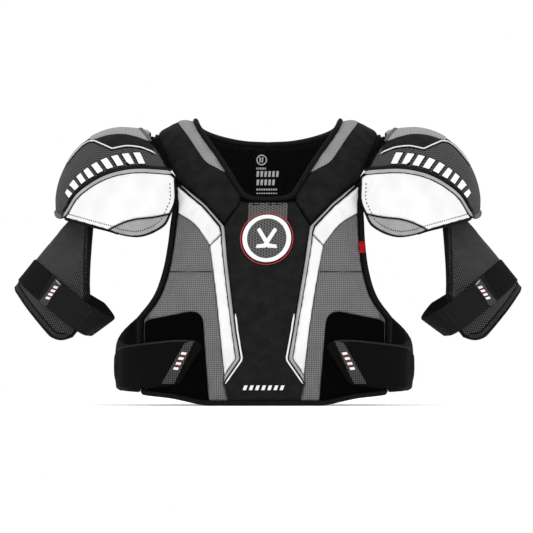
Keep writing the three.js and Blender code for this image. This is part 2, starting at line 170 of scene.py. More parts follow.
class Cap(Chart):
    """A dome laid out flat round its top: the distance from (0, 0) is the angle down from the top."""

    SPREAD = 1.9

    def point(self, pq):
        fall = np.radians(np.hypot(*pq.T) / self.SPREAD)
        turn = np.arctan2(pq[:, 1], pq[:, 0])
        way = np.stack([np.sin(fall) * np.cos(turn), np.sin(fall) * np.sin(turn), np.cos(fall)], 1)
        half = np.stack([np.where(way[:, 0] > 0, CAP_OUTER, CAP_INNER), np.full(len(pq), CAP_DEPTH),
                         np.full(len(pq), CAP_HEIGHT)], 1)
        size = (np.abs(way / half) ** CAP_POWER).sum(1) ** (-1 / CAP_POWER)
        return way * size[:, None] + [CAP_AT[0], MIDDLE_Y, CAP_AT[1]]

    def side(self, path, sign):
        x, z = path.T - np.array(CAP_AT)[:, None]
        wide = np.where(x > 0, CAP_OUTER, CAP_INNER)
        left = 1 - np.abs(x / wide) ** CAP_POWER - np.abs(z / CAP_HEIGHT) ** CAP_POWER
        y = sign * CAP_DEPTH * np.maximum(left, 0) ** (1 / CAP_POWER)
        fall = np.degrees(np.arctan2(np.hypot(x, y), z)) * self.SPREAD
        turn = np.arctan2(y, x)
        return np.stack([fall * np.cos(turn), fall * np.sin(turn)], 1)


class Arm(Chart):
    """p runs round the arm, 0 in front and positive outward; q runs up along the arm."""

    def point(self, pq):
        turn = pq[:, 0] / ARM_RADIUS
        out = ARM_RADIUS * np.sin(turn)
        c, s = math.cos(ARM_LEAN), math.sin(ARM_LEAN)
        x = ARM_AT[0] + c * out - s * pq[:, 1]
        z = ARM_AT[1] + s * out + c * pq[:, 1]
        return np.stack([x, MIDDLE_Y - ARM_RADIUS * ARM_FLATTEN * np.cos(turn), z], 1)

    def turned(self, path):
        turn, up = np.asarray(path, float).T
        return np.stack([np.radians(turn) * ARM_RADIUS, up], 1)


WALL, YOKE, CAP, ARM = Wall(), Yoke(), Cap(), Arm()


# ---------- flat drawing ----------
def resample(path, step):
    path = np.asarray(path, float)
    run = np.concatenate([[0], np.cumsum(np.linalg.norm(np.diff(path, axis=0), axis=1))])
    count = max(1, round(run[-1] / step))
    at = np.linspace(0, run[-1], count + 1)
    return np.stack([np.interp(at, run, path[:, k]) for k in range(path.shape[1])], 1)


def run_of(path):
    """The length along a flat path up to each of its points."""
    return np.concatenate([[0], np.cumsum(np.hypot(*np.diff(path, axis=0).T))])


def curve(points, step=3.0):
    """A smooth open curve through the points, in steps of about the given length."""
    pts = np.asarray(points, float)
    if len(pts) < 3:
        return resample(pts, step)
    ends = np.vstack([2 * pts[0] - pts[1], pts, 2 * pts[-1] - pts[-2]])
    fine = []
    for a, b, c, d in zip(ends, ends[1:], ends[2:], ends[3:]):
        size = np.linalg.norm(c - b)
        m0 = (c - a) / max(np.linalg.norm(c - b) + np.linalg.norm(b - a), 1e-6) * size
        m1 = (d - b) / max(np.linalg.norm(d - c) + np.linalg.norm(c - b), 1e-6) * size
        t = np.linspace(0, 1, 12, endpoint=False)[:, None]
        fine.append((2 * t**3 - 3 * t**2 + 1) * b + (t**3 - 2 * t**2 + t) * m0
                    + (3 * t**2 - 2 * t**3) * c + (t**3 - t**2) * m1)
    return resample(np.vstack([*fine, pts[-1:]]), step)


def loop(*edges, step=3.0):
    """A closed outline from edges that follow on: each is a path, kept as it is."""
    whole = np.vstack([np.asarray(edge, float) for edge in edges])
    keep = [0]
    for k in range(1, len(whole)):
        if np.linalg.norm(whole[k] - whole[keep[-1]]) > 0.4 * step:
            keep.append(k)
    whole = whole[keep]
    if np.linalg.norm(whole[0] - whole[-1]) < 0.4 * step:
        whole = whole[:-1]
    out = []
    for a, b in zip(whole, np.roll(whole, -1, 0)):
        count = max(1, round(np.linalg.norm(b - a) / step))
        out.append(a + (b - a) * np.linspace(0, 1, count, endpoint=False)[:, None])
    return np.vstack(out)


def both(path):
    """The path followed by its mirror image, back to the start."""
    path = np.asarray(path, float)
    return np.vstack([path, (path * [-1, 1])[::-1]])


def shifted(path, distance, closed=False):
    """The path moved to the left of its direction."""
    path = np.asarray(path, float)
    if closed:
        along = np.roll(path, -1, 0) - np.roll(path, 1, 0)
    else:
        along = np.gradient(path, axis=0)
    along /= np.maximum(np.linalg.norm(along, axis=1), 1e-9)[:, None]
    return path + np.stack([-along[:, 1], along[:, 0]], 1) * np.broadcast_to(distance, len(path))[:, None]


def circle(x, z, radius, start=0.0, end=360.0, steps=60):
    angle = np.radians(np.linspace(start, end, steps, endpoint=abs(end - start) < 359))
    return np.stack([x + radius * np.cos(angle), z + radius * np.sin(angle)], 1)


def distance_to(points, path, closed=False):
    """Distance of each point from a polyline."""
    a = np.asarray(path, float)
    b = np.roll(a, -1, 0) if closed else a[1:]
    a = a if closed else a[:-1]
    best = np.full(len(points), 1e9)
    for p, q in zip(a, b):
        d = q - p
        t = np.clip((points - p) @ d / max(d @ d, 1e-9), 0, 1)
        best = np.minimum(best, np.hypot(*(points - p - t[:, None] * d).T))
    return best


def inside(points, ring):
    x, y = points.T
    odd = np.zeros(len(points), bool)
    for (x0, y0), (x1, y1) in zip(ring, np.roll(ring, -1, 0)):
        crosses = (y0 > y) != (y1 > y)
        odd ^= crosses & (x < (x1 - x0) * (y - y0) / (y1 - y0 + 1e-12) + x0)
    return odd


def fill(ring, cell, insets=(), seams=()):
    """Triangles over the ring, even in size, with rows along its edge and along each seam.
    Returns points, triangles and the distance to the ring."""
    area = np.roll(ring, -1, 0)
    if (ring[:, 0] * area[:, 1] - area[:, 0] * ring[:, 1]).sum() < 0:
        ring = ring[::-1]
    rows = []
    for inset in insets:
        row = shifted(ring, inset, True)
        rows.append(row[inside(row, ring) & (distance_to(row, ring, True) > 0.8 * inset)])
    for seam in seams:
        line = resample(seam, 0.7 * cell)
        for side in (-1.7, 0, 1.7):
            row = shifted(line, side)
            rows.append(row[inside(row, ring) & (distance_to(row, ring, True) > 1.2)])
    kept = np.vstack(rows) if rows else np.zeros((0, 2))
    low, high = ring.min(0), ring.max(0)
    levels = np.arange(low[1], high[1] + cell, cell * 0.866)
    columns = np.arange(low[0] - cell, high[0] + cell, cell)
    grid = np.array([[x + (k % 2) * cell / 2, y] for k, y in enumerate(levels) for x in columns])
    grid = grid[inside(grid, ring)]
    grid = grid[distance_to(grid, ring, True) > 0.6 * cell]
    if len(kept) and len(grid):
        gap = np.concatenate([np.hypot(*(kept[None] - block[:, None]).transpose(2, 0, 1)).min(1)
                              for block in np.array_split(grid, max(1, len(grid) // 400))])
        grid = grid[gap > 0.5 * cell]
    every = [Vector(p) for p in np.vstack([ring, kept, grid])]
    edges = [(k, (k + 1) % len(ring)) for k in range(len(ring))]
    points, _, faces, *_ = geometry.delaunay_2d_cdt(every, edges, [], 1, 1e-3)
    points = np.array([p[:] for p in points])
    return points, [tuple(f) for f in faces], distance_to(points, ring, True)


def ripple(pq, size, seed=0.0):
    """A smooth uneven height between -1 and 1, with features of about the given size."""
    p, q = (pq / size).T
    waves = [(1.0, 0.3, 0.4), (-0.5, 1.1, 2.1), (0.8, -0.9, 4.4), (1.7, 0.6, 5.0), (-1.2, -1.6, 1.3)]
    return sum(np.sin(a * p * 2.1 + b * q * 2.1 + c + seed) for a, b, c in waves) / len(waves)


# ---------- meshes ----------
RAY_START, RAY_LENGTH = 45.0, 70.0  # height over the chart where a ray starts, and how far it looks
PIECES = []
PADS = []
MADE = {}
TREES = {}
SLOTS = {
    "knit": "black_fabric", "lining": "lining", "foam": "foam", "silver": "silver_trim",
    "white_skin": "white_overlay", "grey_mesh": "grey_mesh", "black_cord": "black_binding",
    "loop_pile": "loop_pile", "binding": "black_binding", "honeycomb": "dark_mesh",
    "print_white": "badge_white", "print_red": "red_tag", "red_label": "red_tag",
    "light_mesh": "light_mesh", "elastic": "black_elastic", "grey_thread": "black_fabric",
    "woven_tab": "woven_tab", "dark_thread": "black_elastic", "ribbed_mesh": "dark_mesh",
    "lens_skin": "silver_trim", "top_mesh": "light_mesh", "grey_binding": "light_mesh",
    "guard_mesh": "dark_mesh", "arm_elastic": "black_elastic", "guard_binding": "black_binding",
    "arm_pile": "loop_pile"}


def added(name, data):
    """A new object of the scene."""
    new = bpy.data.objects.new(name, data)
    bpy.context.scene.collection.objects.link(new)
    return new


def mesh_object(name, points, faces, flat):
    title = name + "_skin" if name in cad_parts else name
    mesh = bpy.data.meshes.new(title)
    mesh.from_pydata([tuple(p) for p in np.asarray(points) * MM], [], faces)
    mesh.update()
    layer = mesh.attributes.new("flat", "FLOAT_VECTOR", "POINT")
    values = np.zeros((len(flat), 3), np.float32)
    values[:, :flat.shape[1]] = flat
    layer.data.foreach_set("vector", values.ravel())
    mesh.shade_smooth()
    MADE[name] = added(title, mesh)
    return MADE[name]


def soften(piece, levels):
    smooth = piece.modifiers.new("Subdivision", "SUBSURF")
    smooth.levels = smooth.render_levels = levels


def places(mesh):
    co = np.zeros(len(mesh.vertices) * 3)
    mesh.vertices.foreach_get("co", co)
    return co.reshape(-1, 3)


def place(mesh, co):
    mesh.vertices.foreach_set("co", co.ravel())
    mesh.update()


def heights(pieces, chart, pq, floor=None):
    """How high the pieces' faces stand over the chart at each point, and never less than floor."""
    if not isinstance(pieces, (list, tuple)):
        pieces = [pieces]
    bpy.context.view_layer.update()
    depsgraph = bpy.context.evaluated_depsgraph_get()
    start, way = chart.skin(pq, RAY_START) * MM, -chart.normal(np.asarray(pq, float))
    found = np.full(len(pq), np.nan)
    for piece in pieces:
        if piece.name not in TREES:
            TREES[piece.name] = BVHTree.FromObject(piece, depsgraph)
        for k, (a, d) in enumerate(zip(start, way)):
            hit = TREES[piece.name].ray_cast(Vector(a), Vector(d), RAY_LENGTH * MM)
            if hit[0] is not None:
                found[k] = np.nanmax([found[k], RAY_START - hit[3] / MM])
    missing = np.isnan(found)
    if floor is not None:
        return np.where(missing, floor, np.maximum(found, floor))
    if missing.all():
        return np.zeros(len(pq))
    if missing.any():
        good = np.where(~missing)[0]
        for k in np.where(missing)[0]:
            found[k] = found[good[np.argmin(np.hypot(*(pq[good] - pq[k]).T))]]
    return found


def part(piece, look, body="vest", slot=None, nodes=None, fill=None, levels=None):
    """Books a finished piece: how it looks, what it rides on and which CAD nodes it stands for. It stands
    for the node of its own name unless others are given, and its slot is its look's usual one."""
    if levels:
        soften(piece, levels)
    if nodes is None:
        nodes = [name for name in (piece.name.removesuffix("_skin"),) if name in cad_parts]
    PIECES.append((piece, body, look, slot or SLOTS[look], nodes, fill))


def pad(name, chart, ring, low, high, cell=4.5, edge=4.0, crown=0.0, width=24.0, seams=(), groove=1.2,
        uneven=0.25, puff=None, on=None, floor=None, wrinkle=0.0, rim_at=0.0, lift=None):
    """A padded panel over the ring: its back at height low, its face at height high plus a crown, its
    edge rounded, a groove along each seam. rim_at is where its edge lies, from 0 at the back to 1 at the
    face. puff is how far the cloth simulation may swell it. With on, the heights are over those pieces'
    faces, and lift adds to them. A panel with high under low faces the wearer."""
    facing = 1 if high > low else -1
    insets = [d for d in (0.3 * edge, edge) if d < 0.45 * cell or edge < 6]
    points, faces, deep = fill(ring, cell, insets, seams)
    floor = floor(points) if callable(floor) else floor
    base = heights(on, chart, points, floor) if on else np.zeros(len(points))
    if lift:
        base = base + lift(points)
    rise = np.sqrt(np.clip(1 - (1 - np.clip(deep / edge, 0, 1)) ** 2, 0, 1))
    edge_at = low + (high - low) * rim_at
    out = edge_at + (high - edge_at) * rise + facing * crown * (1 - np.exp(-(deep / width) ** 2))
    out += uneven * ripple(points, 30.0, len(name)) * np.clip(deep / 12, 0, 1)
    if wrinkle:
        out += wrinkle * ripple(points * [1, 0.35], 13.0, 2.0) * np.clip(deep / 10, 0, 1)
    for seam in seams:
        out -= facing * groove * np.exp(-(distance_to(points, seam) / 1.6) ** 2)
    top = chart.skin(points, base + out)
    under = chart.skin(points, base + edge_at + (low - edge_at) * rise)
    rim = deep < 1e-3
    lower = np.where(rim, np.arange(len(points)), 0)
    lower[~rim] = len(points) + np.arange((~rim).sum())
    faces = [f for f in faces if not rim[list(f)].all()]
    middle = faces[len(faces) // 2]
    first = [top[k] for k in middle]
    outward = np.cross(first[1] - first[0], first[2] - first[0]) @ chart.normal(points[[middle[0]]])[0]
    if outward * facing < 0:
        faces = [f[::-1] for f in faces]
    backs = [tuple(int(lower[k]) for k in f[::-1]) for f in faces]
    piece = mesh_object(name, np.vstack([top, under[~rim]]), faces + backs, np.vstack([points, points[~rim]]))
    if puff:
        held = piece.vertex_groups.new(name="held")
        firm = np.concatenate([np.clip(1 - deep / edge, 0, 1) * 0.999 + 0.001, np.ones((~rim).sum())])
        for seam in seams:
            near = np.exp(-(distance_to(points, seam) / 2.5) ** 2)
            firm[:len(points)] = np.maximum(firm[:len(points)], near)
        for k, weight in enumerate(firm):
            if weight > 0.02:
                held.add([k], float(weight), "REPLACE")
        PADS.append((piece, puff))
    return piece


def oval(rx, ry, cx=0.0, cy=0.0, power=2.6, steps=14):
    """The section of a rolled tape: a ring of (sideways, out) points."""
    angle = np.linspace(0, 2 * math.pi, steps, endpoint=False)
    c, s = np.cos(angle), np.sin(angle)
    c, s = np.sign(c) * np.abs(c) ** (2 / power), np.sign(s) * np.abs(s) ** (2 / power)
    return np.stack([cx + rx * c, cy + ry * s], 1)


def tape(name, chart, path, section, closed=False, on=None, floor=None, ends=0.4):
    """A band along a chart path with the given section, its open ends drawn in."""
    path = np.asarray(path, float)
    lift = heights(on, chart, path, floor) if on else np.zeros(len(path))
    count, sides = len(path), len(section)
    centre = section.mean(0)
    scale = np.ones(count)
    if not closed:
        scale[[0, -1]] = ends
        scale[[1, -2]] = 0.5 + ends / 2
    rows = []
    for sideways, out in section:
        aside = centre[0] + (sideways - centre[0]) * scale
        up = centre[1] + (out - centre[1]) * scale
        rows.append(chart.skin(shifted(path, aside, closed), lift + up))
    points = np.stack(rows, 1).reshape(-1, 3)
    spans = count if closed else count - 1
    faces = []
    for k in range(spans):
        for j in range(sides):
            a, b = k * sides, ((k + 1) % count) * sides
            faces.append((a + j, a + (j + 1) % sides, b + (j + 1) % sides, b + j))
    if not closed:
        faces += [tuple(range(sides))[::-1], tuple((count - 1) * sides + j for j in range(sides))]
    flat = np.stack([np.repeat(run_of(path), sides), np.tile(run_of(section), count)], 1)
    piece = mesh_object(name, points, faces, flat)
    normal = np.cross(points[1] - points[0], points[sides] - points[0])
    if normal @ (points[0] + points[1] - 2 * points[:sides].mean(0)) < 0:
        piece.data.flip_normals()
    return piece


def cordon(radius, lift=0.0):
    """The section of a round piping."""
    return oval(radius, radius, 0, lift, 2.0, 8)


def stitches(name, chart, path, on, pitch=4.4, length=2.9, thick=0.42, floor=None):
    """A row of stitches along a chart path, each one a short thread that dips in at its ends."""
    path = np.asarray(path, float)
    total = run_of(path)[-1]
    line = resample(path, total / max(1, round(total / pitch)) / 6)
    starts = np.arange(0, len(line) - 6, 6)
    spread = np.linspace(-0.5, 0.5, 5) * length / pitch * 6 + 3
    run = np.arange(len(line))
    at = np.array([[np.interp(s + t, run, line[:, k]) for k in (0, 1)] for s in starts for t in spread])
    lift = heights(on, chart, at, floor).reshape(-1, 5)
    across = np.gradient(at.reshape(-1, 5, 2), axis=1).reshape(-1, 2)
    across = np.stack([-across[:, 1], across[:, 0]], 1)
    across /= np.maximum(np.hypot(*across.T), 1e-9)[:, None]
    swell = np.tile([0.35, 0.9, 1.0, 0.9, 0.35], len(starts))
    dip = np.tile([-0.45, 0.02, 0.16, 0.02, -0.45], len(starts))
    sides = 6
    points, flat = [], []
    for j in range(sides):
        angle = 2 * math.pi * j / sides
        aside = at + across * (thick * swell * math.cos(angle))[:, None]
        points.append(chart.skin(aside, lift.ravel() + dip + thick * swell * math.sin(angle)))
        flat.append(aside)
    points = np.stack(points, 1).reshape(-1, 3)
    faces = []
    for s in range(len(starts)):
        first = s * 5 * sides
        for k in range(4):
            for j in range(sides):
                a = first + k * sides
                faces.append((a + j, a + sides + j, a + sides + (j + 1) % sides, a + (j + 1) % sides))
        faces.append(tuple(first + j for j in range(sides)))
        faces.append(tuple(first + 4 * sides + j for j in range(sides))[::-1])
    return mesh_object(name, points, faces, np.stack(flat, 1).reshape(-1, 2))


def blocks(name, chart, grids, on, low, high, floor=None):
    """Small raised prints: each is a grid of chart points, laid on the pieces as a thin block."""
    points, faces, flat = [], [], []
    for grid in grids:
        rows, columns = grid.shape[:2]
        at = grid.reshape(-1, 2)
        base = heights(on, chart, at, floor) if on else np.zeros(len(at))
        start, count = sum(map(len, points)), len(at)
        points += [chart.skin(at, base + high), chart.skin(at, base + low)]
        flat += [at, at]
        rim = [(0, j) for j in range(columns - 1)] + [(i, columns - 1) for i in range(rows - 1)]
        rim += [(rows - 1, j) for j in range(columns - 1, 0, -1)] + [(i, 0) for i in range(rows - 1, 0, -1)]
        rim = [start + i * columns + j for i, j in rim]
        for i in range(rows - 1):
            for j in range(columns - 1):
                a = start + i * columns + j
                quad = (a, a + 1, a + columns + 1, a + columns)
                faces += [quad, tuple(k + count for k in quad[::-1])]
        faces += [(b, a, a + count, b + count) for a, b in zip(rim, rim[1:] + rim[:1])]
    piece = mesh_object(name, np.vstack(points), faces, np.vstack(flat))
    a, b, c = (np.array(piece.data.vertices[k].co) for k in piece.data.polygons[0].vertices[:3])
    if np.cross(b - a, c - a) @ chart.normal(grids[0].reshape(-1, 2)[:1])[0] * (high - low) < 0:
        piece.data.flip_normals()
    piece.data.shade_flat()
    return piece


def strokes(path, count, wide, pitch, low, high, slant=0.0, start=0.0):
    """Grids for a row of slanted strokes that stand to the left of a path, from low to high over it."""
    path = np.asarray(path, float)
    run = run_of(path)

    def along(at):
        return np.stack([np.interp(at, run, path[:, j]) for j in (0, 1)], 1)

    grids = []
    for k in range(count):
        rows = []
        for up in np.linspace(low, high, 4):
            at = start + k * pitch + np.linspace(0, wide, 3) + slant * (up - low)
            way = along(at + 1) - along(at - 1)
            way /= np.hypot(*way.T)[:, None]
            rows.append(along(at) + np.stack([-way[:, 1], way[:, 0]], 1) * up)
        grids.append(np.array(rows))
    return grids


CLOTH = {"quality": 4, "mass": 0.3, "tension_stiffness": 12, "compression_stiffness": 12,
         "shear_stiffness": 4, "bending_stiffness": 0.4, "use_pressure": True,
         "uniform_pressure_force": 4, "shrink_min": -0.03, "vertex_group_mass": "held"}
CLOTH_FRAMES = 20


def inflate():
    """Swells every padded panel with one short cloth simulation and keeps the result as its mesh."""
    for piece, _ in PADS:
        for smooth in piece.modifiers:
            smooth.show_viewport = False
        cloth = piece.modifiers.new("Cloth", "CLOTH")
        for key, value in CLOTH.items():
            setattr(cloth.settings, key, value)
        cloth.settings.effector_weights.gravity = 0
        cloth.collision_settings.use_collision = False
        cloth.point_cache.frame_start, cloth.point_cache.frame_end = 1, CLOTH_FRAMES
    for step in range(1, CLOTH_FRAMES + 1):
        bpy.context.scene.frame_set(step)
    depsgraph = bpy.context.evaluated_depsgraph_get()
    for piece, puff in PADS:
        before = places(piece.data)
        move = places(piece.evaluated_get(depsgraph).data) - before
        size = np.linalg.norm(move, axis=1)
        limit = puff * MM * np.tanh(size / (puff * MM)) / np.maximum(size, 1e-9)
        place(piece.data, before + move * limit[:, None])
    for piece, _ in PADS:
        piece.modifiers.remove(piece.modifiers["Cloth"])
        for smooth in piece.modifiers:
            smooth.show_viewport = True
    bpy.context.scene.frame_set(1)


# ---------- materials ----------
def new_node(tree, kind, links=(), **settings):
    """A shader node with the given attributes, and what each of its inputs holds: a socket or a value."""
    node = tree.nodes.new("ShaderNode" + kind)
    for key, value in settings.items():
        setattr(node, key, value)
    for entry, value in links:
        if isinstance(value, bpy.types.NodeSocket):
            tree.links.new(value, node.inputs[entry])
        else:
            node.inputs[entry].default_value = value
    return node


class Num:
    """A number that a shader works out from point to point."""

    def __init__(self, tree, socket):
        self.tree, self.socket = tree, socket

    def op(self, kind, *others):
        values = [value.socket if isinstance(value, Num) else value for value in (self, *others)]
        return Num(self.tree, new_node(self.tree, "Math", enumerate(values), operation=kind).outputs[0])

    def __add__(self, other):
        return self.op("ADD", other)

    def __sub__(self, other):
        return self.op("SUBTRACT", other)

    def __mul__(self, other):
        return self.op("MULTIPLY", other)

    def between(self, low, high):
        """0 under low, 1 over high and smooth in between."""
        links = (("From Min", low), ("From Max", high), ("Value", self.socket))
        node = new_node(self.tree, "MapRange", links, interpolation_type="SMOOTHSTEP")
        return Num(self.tree, node.outputs[0])


class Surface:
    """A surface's flat coordinates in millimetres, and the patterns that are made from them."""

    def __init__(self, tree, flat):
        self.tree = tree
        if flat:
            self.at = new_node(tree, "Attribute", attribute_name="flat").outputs["Vector"]
        else:
            self.at = self.scaled(new_node(tree, "TexCoord").outputs["Object"], (1 / MM,) * 3)
        split = new_node(tree, "SeparateXYZ", [(0, self.at)])
        self.p, self.q = (Num(tree, split.outputs[k]) for k in (0, 1))

    def scaled(self, socket, factors):
        return new_node(self.tree, "VectorMath", ((0, socket), (1, factors)), operation="MULTIPLY").outputs[0]

    def noise(self, size, detail=2.0):
        at = self.scaled(self.at, (1 / size,) * 3)
        node = new_node(self.tree, "TexNoise", (("Scale", 1.0), ("Detail", detail), ("Vector", at)))
        return Num(self.tree, node.outputs[0])

    def cells(self, size):
        at = self.scaled(self.at, (1 / size,) * 3)
        node = new_node(self.tree, "TexVoronoi", (("Scale", 1.0), ("Vector", at)))
        return Num(self.tree, node.outputs["Distance"])

    def wave(self, pitch, angle=0.0, shift=0.0):
        """A sine between -1 and 1 across lines that stand at the given angle from the p axis."""
        turn = 2 * math.pi / pitch
        a = math.radians(angle)
        way = self.p * (turn * math.cos(a)) + self.q * (turn * math.sin(a))
        return (way + shift).op("SINE")

    def grid(self, wide, tall, angle=0.0):
        """Woven holes: 1 on the threads and 0 in the holes."""
        holes = (self.wave(wide, angle) + 1) * (self.wave(tall, angle + 90) + 1)
        return holes.between(2.6, 0.9)

    def hexes(self, pitch):
        """Dots in a honeycomb order: 1 between the dots and 0 in them."""
        total = self.wave(pitch, 0, math.pi / 2) + self.wave(pitch, 60, math.pi / 2)
        return (total + self.wave(pitch, 120, math.pi / 2)).between(1.4, 0.2)


def grey(value):
    return (value, value, value, 1)


LOOKS = {}


def look(name, low, high, rough, relief, draw, flat=True, sheen=0.0, coat=0.0, specular=0.5):
    """A material. draw returns where it is its high colour, and its height as a share of relief mm."""
    material = bpy.data.materials.new(name)
    material.use_nodes = True
    tree = material.node_tree
    shader = tree.nodes["Principled BSDF"]
    surface = Surface(tree, flat)
    mask, height = draw(surface)
    low, high = (value if isinstance(value, tuple) else grey(value) for value in (low, high))
    blend = new_node(tree, "Mix", data_type="RGBA")
    tree.links.new(mask.socket, blend.inputs[0])
    blend.inputs[6].default_value, blend.inputs[7].default_value = low, high
    tree.links.new(blend.outputs[2], shader.inputs["Base Color"])
    tree.links.new((surface.noise(9.0) * 0.16 + (rough - 0.08)).socket, shader.inputs["Roughness"])
    bump = new_node(tree, "Bump", (("Distance", relief * MM), ("Height", height.socket)))
    tree.links.new(bump.outputs[0], shader.inputs["Normal"])
    for entry, value in (("Sheen Weight", sheen), ("Sheen Roughness", 0.4), ("Coat Weight", coat),
                         ("Coat Roughness", 0.25), ("Specular IOR Level", specular)):
        shader.inputs[entry].default_value = value
    LOOKS[name] = material


def knit(s):
    loops = s.wave(1.5) * s.wave(1.15, 90)
    fleck = s.noise(1.0, 3.0) * 0.75 + s.noise(16.0) * 0.25
    return fleck.between(0.36, 0.66), loops * 0.5 + s.noise(0.7, 1.0)


def plain_weave(s):
    return s.noise(3.0, 4.0).between(0.3, 0.7), s.wave(0.9) * s.wave(0.9, 90) + s.noise(2.0)


def mesh_of(wide, tall, angle=0.0):
    def draw(s):
        threads = s.grid(wide, tall, angle)
        return threads * (s.noise(22.0) * 0.5 + 0.72), threads + s.noise(1.0) * 0.2
    return draw


def ribbed(s):
    holes = (s.wave(4.2, 24.0) + 1) * (s.wave(3.2, 114.0) + 1)
    rib = holes.between(2.2, 0.3)
    row = s.wave(4.2, 24.0).between(-0.7, 0.9)
    return rib * (row * 0.7 + 0.3), rib + row


def honeycomb(s):
    dots = s.hexes(3.3)
    return dots * (s.noise(12.0) * 0.4 + 0.75), dots


def guard_mesh(s):
    coarse = s.hexes(2.5) * -1 + 1
    near = s.p.between(40.0, 2.0)
    fine = s.wave(1.5, 30).between(-1, 1) * s.wave(1.5, 120).between(-1, 1) * 0.8 + 0.12
    mix = coarse * near + fine * (near * -1 + 1)
    return mix * (s.noise(20.0) * 0.5 + 0.7), mix


def leather(s):
    grain = s.cells(0.75)
    return s.noise(40.0, 1.0).between(0.2, 0.8), grain + s.noise(0.5, 2.0) * 0.5 + s.noise(9.0) * 1.2


def corded(s):
    return s.noise(2.5, 3.0).between(0.3, 0.7), s.wave(1.15).between(-1, 1) + s.noise(0.8) * 0.4


def pile(s):
    return s.noise(0.8, 3.0).between(0.42, 0.66), s.noise(0.9, 4.0) * 2.0 + s.noise(5.0)


def elastic(s):
    ribs = s.wave(1.7, 90)
    return (s.noise(1.2, 3.0) * 0.6 + ribs * 0.2 + 0.1).between(0.2, 0.6), ribs * 0.6 + s.wave(0.9) * 0.3


def checker(s):
    squares = s.wave(3.6, 45) * s.wave(3.6, 135)
    return squares.between(-0.35, 0.35), squares + s.noise(0.8)


def grainy(s):
    return s.noise(6.0, 3.0).between(0.3, 0.7), s.noise(0.8, 2.0) + s.cells(1.6)


def twisted(s):
    return s.noise(1.0, 2.0).between(0.3, 0.7), s.wave(0.8, 35)


look("knit", 0.0030, 0.0175, 0.88, 0.22, knit, sheen=0.012, specular=0.10)
look("lining", 0.0025, 0.0090, 0.85, 0.15, plain_weave, specular=0.06)
look("grey_mesh", 0.028, 0.170, 0.8, 0.30, mesh_of(2.5, 2.9), specular=0.2)
look("light_mesh", 0.10, 0.30, 0.8, 0.25, mesh_of(2.2, 3.0, 8.0), specular=0.2)
look("top_mesh", 0.17, 0.36, 0.8, 0.25, mesh_of(2.4, 2.4, 45.0), specular=0.2)
look("ribbed_mesh", 0.004, 0.150, 0.8, 0.45, ribbed, specular=0.15)
look("honeycomb", 0.010, 0.105, 0.7, 0.35, honeycomb, specular=0.2)
look("guard_mesh", 0.008, 0.120, 0.8, 0.35, guard_mesh, specular=0.12)
look("white_skin", 0.73, 0.83, 0.42, 0.045, leather, coat=0.08, specular=0.4)
look("lens_skin", 0.27, 0.37, 0.5, 0.05, leather, coat=0.06, specular=0.3)
look("silver", 0.30, 0.42, 0.5, 0.06, leather, coat=0.05, specular=0.3)
look("binding", 0.0015, 0.0085, 0.8, 0.20, corded, specular=0.10)
look("grey_binding", 0.07, 0.16, 0.8, 0.20, corded, specular=0.2)
look("black_cord", 0.0010, 0.0035, 0.75, 0.15, twisted, specular=0.08)
look("loop_pile", 0.0003, 0.0025, 0.95, 0.8, pile, specular=0.03)
look("elastic", 0.0008, 0.0045, 0.85, 0.22, elastic, specular=0.06)
look("arm_pile", 0.0020, 0.022, 0.95, 0.8, pile, specular=0.05)
look("guard_binding", 0.012, 0.034, 0.8, 0.20, corded, specular=0.12)
look("arm_elastic", 0.0040, 0.0160, 0.85, 0.22, elastic, specular=0.10)
look("woven_tab", 0.008, 0.085, 0.8, 0.20, checker, specular=0.1)
look("foam", 0.05, 0.10, 0.95, 0.5, grainy)
look("plastic", 0.018, 0.030, 0.42, 0.10, grainy, flat=False)
look("print_white", 0.78, 0.88, 0.5, 0.03, leather, specular=0.3)
look("print_red", (0.42, 0.02, 0.035, 1), (0.55, 0.05, 0.06, 1), 0.5, 0.05, plain_weave, specular=0.2)
look("red_label", (0.30, 0.002, 0.005, 1), (0.44, 0.006, 0.012, 1), 0.7, 0.15, plain_weave, specular=0.1)
look("grey_thread", 0.055, 0.12, 0.7, 0.10, twisted, specular=0.1)
look("dark_thread", 0.006, 0.030, 0.7, 0.10, twisted, specular=0.1)


# Pieces that cross a joint: the moving body, and where the bend starts and ends on the left side, in mm.
BENDS = {"bridge": ("cap", (148, MIDDLE_Y, 385), (178, MIDDLE_Y, 385)),
         "side_strap_root": ("side_strap_flap", (206, 0, 50), (206, -26, 50))}


def dress():
    """Gives each booked piece its look and, unless it crosses a joint, its body; hides the CAD nodes it
    stands for, and makes the right-hand twins.
    """
    def settle(piece, body, material, nodes):
        if body == "vest" or "side_strap" in body:
            co = places(piece.data)
            co[:, 0] -= lean(co[:, 2] / MM) * MM
            place(piece.data, co)
        piece.data.materials.append(LOOKS[material])
        bend, handed = body.rsplit("_", 1) if body != "vest" else (body, "")
        if bend in BENDS:
            moving, start, end = BENDS[bend]
            mirror = Vector((1, 1, 1) if handed == "left" else (-1, 1, 1)) * MM
            start, end = (mirror * Vector(point) for point in (start, end))
            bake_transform(piece)
        else:
            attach(piece, body)
        if nodes:
            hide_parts(*nodes)

    def swapped(text):
        return text.replace("_left", "_right")

    for piece, body, material, slot, nodes, fill in list(PIECES):
        if "_left" in piece.name:
            mesh = piece.data.copy()
            twin = added(swapped(piece.name), mesh)
            place(mesh, places(mesh) * [-1, 1, 1])
            mesh.flip_normals()
            for modifier in piece.modifiers:
                soften(twin, modifier.levels)
            settle(twin, swapped(body), material, [swapped(n) for n in nodes])
        settle(piece, body, material, nodes)


